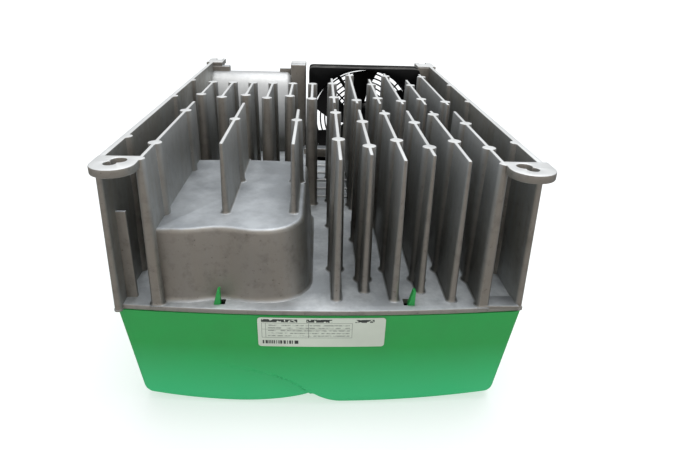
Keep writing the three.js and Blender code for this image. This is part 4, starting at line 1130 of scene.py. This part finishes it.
def labelShape():
    # a film with round corners that follows the bowed near face of the cover
    look = filmLook
    half, radius = look["half"], look["corner"]
    t = np.linspace(0, math.pi / 2, 7)[:-1]
    end = half - radius * (1 - np.cos(t))
    x = np.concatenate([-end, np.linspace(-1, 1, 61) * (half - radius), end[::-1]])
    into = np.clip(np.abs(x) - (half - radius), 0, radius)
    cornerIn = radius - np.sqrt(radius ** 2 - into ** 2)
    v = np.linspace(0, 1, 9)[:, None]
    z = (look["low"] + cornerIn) * (1 - v) + (look["high"] - cornerIn) * v
    x = np.broadcast_to(x, z.shape)
    y = nearFace(x, z)
    return sheetBody(*[np.stack([x, y - look[side], z], -1) for side in ("front", "back")])


coverPieces()
piece("rating_film", labelShape(), "label", replaces=["rating_label"], sharp=40)
print("cover made")


fanLook = {
    "x": 46.0, "z": 110.0, "half": 60.0, "near": 144.0, "far": 169.0, "bore": 57.5, "screw": 52.5,
    "blades": 6, "root": 17.0, "tip": 55.9, "thick": 2.0, "lead": -14.0, "sweep": 16.0, "halfTurn": 20.0,
    "taper": 5.5, "pitch": 7.0, "rings": (57.0, 52.0, 47.0, 42.0, 37.0, 32.0, 27.0), "wire": 0.85,
    "power": 44.0, "rim": 0.8, "mouth": 1.9,
}


def fanFrameShape():
    # square frame whose outline is a superellipse, round bore with a flared mouth on both sides
    look = fanLook
    t = np.linspace(0, 2 * math.pi, 192, endpoint=False)
    power, rim, near, far = look["power"], look["rim"], look["near"], look["far"]
    square = look["half"] / (np.abs(np.cos(t)) ** power + np.abs(np.sin(t)) ** power) ** (1 / power)
    rows = [(square - inset, y) for inset, y in (
        (rim, near), (rim * 0.3, near + rim * 0.3), (0, near + rim), (0, near + 4.2), (1.2, near + 5.0),
        (1.2, far - 5.0), (0, far - 4.2), (0, far - rim), (rim * 0.3, far - rim * 0.3), (rim, far))]
    angles = np.linspace(0, math.pi / 2, 5)
    for face, inwards, order in ((far, -4, angles), (near, 4, angles[::-1])):
        for s in order:
            bore = look["bore"] + look["mouth"] * (1 - math.sin(s))
            rows.append((np.full_like(t, bore), face + inwards * (1 - math.cos(s))))
    rings = [turnAxes(reach * np.cos(t), reach * np.sin(t), y, "y") for reach, y in rows]
    return ringBody(np.array(rings) + np.array([look["x"], 0, look["z"]]))


def bladeShape(turn):
    # an aerofoil blade: thickness falls off as an ellipse across the chord, and the sweep grows outwards
    look = fanLook
    s = np.sin(np.linspace(-math.pi / 2, math.pi / 2, 25))[None, :]
    out = np.linspace(0, 1, 22)[:, None]
    radius = look["root"] + (look["tip"] - look["root"]) * out
    spread = (look["halfTurn"] - look["taper"] * out) * s
    angle = np.radians(turn + look["lead"] + look["sweep"] * out + spread)
    middle = look["near"] + 11 + look["pitch"] * s + 1.4 * (1 - s * s)
    half = look["thick"] / 2 * np.sqrt(np.clip(1 - s * s, 0.02, 1)) * (1 - 0.35 * out)
    x, z = look["x"] + radius * np.sin(angle), look["z"] + radius * np.cos(angle)
    return sheetBody(np.stack([x, middle + half, z], -1), np.stack([x, middle - half, z], -1))


def capsule(a, b, radius):
    # a straight wire with rounded ends between two points
    a, b = np.asarray(a, float), np.asarray(b, float)
    axis = (b - a) / np.linalg.norm(b - a)
    side = np.cross(axis, [0.31, 0.52, 0.79])
    side /= np.linalg.norm(side)
    other = np.cross(axis, side)
    t = np.linspace(0, 2 * math.pi, 12, endpoint=False)[:, None]
    circle = (np.cos(t) * side + np.sin(t) * other) * radius
    ends = [(radius * (1 - math.sin(q)), max(math.cos(q), 0.15)) for q in np.linspace(math.pi / 2, 0, 4)]
    rows = [a + axis * along + circle * size for along, size in ends]
    rows += [b - axis * along + circle * size for along, size in ends[::-1]]
    return loft(rows)


def aroundFan(profile, steps=48, corner=None, start=0.0, ring=False):
    # a profile turned about the fan's axis, or about the axis of one of its screws
    look = fanLook
    sx, sz = corner or (0, 0)
    centre = (look["x"] + sx * look["screw"], start, look["z"] + sz * look["screw"])
    return (turnedRing if ring else turned)(profile, centre, "y", steps)


fanCorners = [(-1, -1), (1, -1), (1, 1), (-1, 1)]


def fanPieces():
    look = fanLook
    x, z, near, far = look["x"], look["z"], look["near"], look["far"]
    struts = []
    for angle in (20, 110, 200, 290):
        a = math.radians(angle)
        start = (x + 18 * math.cos(a), far - 2.4, z + 18 * math.sin(a))
        end = (x + 59 * math.cos(a + 0.18), far - 2.4, z + 59 * math.sin(a + 0.18))
        struts.append(capsule(start, end, 1.9))
    motor = aroundFan([(19, far - 4.2), (20, far - 3.6), (20, far - 0.8), (19.4, far - 0.3)])
    piece("fan_housing", gathered([fanFrameShape(), motor, *struts]), "black_plastic", replaces=["fan_frame"])
    hub = aroundFan([(15, near + 2.5), (17.6, near + 2.9), (18.7, near + 3.9), (19, near + 5.5),
                     (19, far - 5.2), (18.5, far - 4.6)])
    step = aroundFan([(8.5, near + 2.0), (9.3, near + 2.3), (9.3, near + 3.2)])
    blades = [bladeShape(360 / look["blades"] * k) for k in range(look["blades"])]
    piece("fan_blades", gathered([hub, step, *blades]), "black_plastic", body="fan_rotor",
          replaces=["fan_rotor"])
    y = far + 0.9
    rings = [wireCircle((x, y, z), r, look["wire"] + (0.05 if r > 56 else 0)) for r in look["rings"]]
    disc = aroundFan([(18.8, far + 0.2), (20, far + 0.6), (20, far + 1.3), (18.5, far + 1.75),
                      (6, far + 1.75)])
    reach = look["screw"]
    spokes = [capsule((x - reach, y, z - turn * reach), (x + reach, y, z + turn * reach), 0.9)
              for turn in (1, -1)]
    ear = [(5, far + 0.1), (5, far + 1.7), (2.4, far + 1.7), (2.4, far + 0.1)]
    ears = [aroundFan(ear, 32, corner, ring=True) for corner in fanCorners]
    piece("finger_guard", gathered([*rings, disc, *spokes, *ears]), "black_plastic", replaces=["fan_guard"])
    screw = [(1.8, -11), (1.8, 0), (3.6, 0), (3.6, 1.0), (3.2, 1.7), (2.2, 2.15), (0.6, 2.3)]
    screws = [aroundFan(screw, 32, corner, far + 1.9) for corner in fanCorners]
    piece("guard_screws", gathered(screws), "zinc_steel",
          replaces=[f"fan_guard_screw_{k}" for k in (1, 2, 3, 4)])


fanPieces()
print("fan made")



keyProfile = [  # radius and height: a dished cap with a rounded rim, its collar and its stem
    (0.5, 1.25), (3.5, 1.15), (5.7, 1.0), (6.5, 1.2), (6.9, 1.6), (7.0, 2.1), (7.0, 4.4), (8.5, 4.5),
    (8.6, 4.8), (8.6, 5.7), (8.3, 6.0), (2.5, 6.0), (2.5, 7.3), (2.0, 7.4),
]
glandProfile = [  # a grommet from inside the wall outwards, added to its groove's radius and middle
    (-4, -0.5), (-1.6, -0.6), (-1.3, -1.2), (1.2, -1.4), (1.5, -1.1), (1.5, -0.3), (-0.3, -0.2), (-0.3, 2.2),
    (1.5, 2.3), (1.5, 3.2), (1.1, 3.6), (-1.3, 3.6), (-2.2, 2.4), (-3.2, 0.9), (-4.5, 0.7),
]
glandWall = 158.6
keyNames = [name + "_button" for name in ("mode", "up", "down", "stop_reset", "start")]
glandNames = [name + "_cable_grommet" for name in ("supply", "motor", "brake", "control")]
softNames = ["keypad_bezel", "terminal_cover", "gland_plate", "power_terminal_block",
             "control_terminal_block", "display_window", "led_display_module"]


def smallPieces():
    for name in keyNames:
        x, y = np.mean(boxOf(name), 0)[:2]
        piece(name.replace("button", "key"), turned(keyProfile, (x, y, 0)), slotOf[name], body=name,
              replaces=[name])
    for name in glandNames:
        low, high = boxOf(name)
        centre = (low + high) / 2 * [1, 0, 1]
        groove = (high[0] - low[0]) / 2 - 1.5
        shape = turned(np.array(glandProfile) + [groove, glandWall], centre, "y")
        piece(name.replace("grommet", "gland"), shape, "rubber", replaces=[name])
    softened(softNames, 0.45)
    softened(["left_cover_screw", "right_cover_screw"], 0.2)


smallPieces()
print("small parts made")



def stageFloor():
    size = 60.0
    mesh = bpy.data.meshes.new("floor")
    z = float(cadBox[0][2]) - 0.0002
    corners = [(x * size, y * size, z) for x, y in ((-1, -1), (1, -1), (1, 1), (-1, 1))]
    mesh.from_pydata(corners, [], [(0, 1, 2, 3)])
    mesh.materials.append(floorPaint())
    floor = bpy.data.objects.new("floor", mesh)
    bpy.context.scene.collection.objects.link(floor)


lightLook = {"sky": 0.62, "sun": 1.7, "sunAngle": 50.0, "sunTilt": (-12.0, 6.0)}


def studioLight():
    world = bpy.data.worlds.new("studio")
    world.use_nodes = True
    tree = world.node_tree
    seen = node(tree, "LightPath").outputs["Is Camera Ray"]  # white where it is seen, softer where it lights
    strength = remap(tree, seen, 0.0, 1.0, lightLook["sky"], 1.0)
    tree.nodes["Background"].inputs["Color"].default_value = (1, 1, 1, 1)
    tree.links.new(strength, tree.nodes["Background"].inputs["Strength"])
    bpy.context.scene.world = world
    lamp = bpy.data.lights.new("overhead", "SUN")
    lamp.energy, lamp.angle = lightLook["sun"], math.radians(lightLook["sunAngle"])
    overhead = bpy.data.objects.new("overhead", lamp)
    overhead.rotation_euler = [math.radians(a) for a in (*lightLook["sunTilt"], 0)]
    bpy.context.scene.collection.objects.link(overhead)


cameraLook = {
    "yaw": 2.38, "pitch": 24.96, "roll": 1.64, "place": (-0.00365, -0.45731, 0.26434), "lens": 29.117,
}


def standCamera():
    # looks along +Y and down, turned a little to the right and rolled a little
    look = cameraLook
    yaw, pitch, roll = (math.radians(look[key]) for key in ("yaw", "pitch", "roll"))
    forward = Vector((math.sin(yaw) * math.cos(pitch), math.cos(yaw) * math.cos(pitch), -math.sin(pitch)))
    level = Vector((math.cos(yaw), -math.sin(yaw), 0))
    upward = level.cross(forward)
    right = math.cos(roll) * level + math.sin(roll) * upward
    top = math.cos(roll) * upward - math.sin(roll) * level
    camera = bpy.data.cameras.new("camera")
    camera.lens, camera.sensor_width = look["lens"], 36
    stand = bpy.data.objects.new("camera", camera)
    matrix = Matrix((right, top, -forward)).transposed().to_4x4()
    matrix.translation = look["place"]
    stand.matrix_world = matrix
    bpy.context.scene.collection.objects.link(stand)
    bpy.context.scene.camera = stand


stageFloor()
studioLight()
standCamera()
bpy.context.scene.view_settings.view_transform = "Standard"
print("stage set")
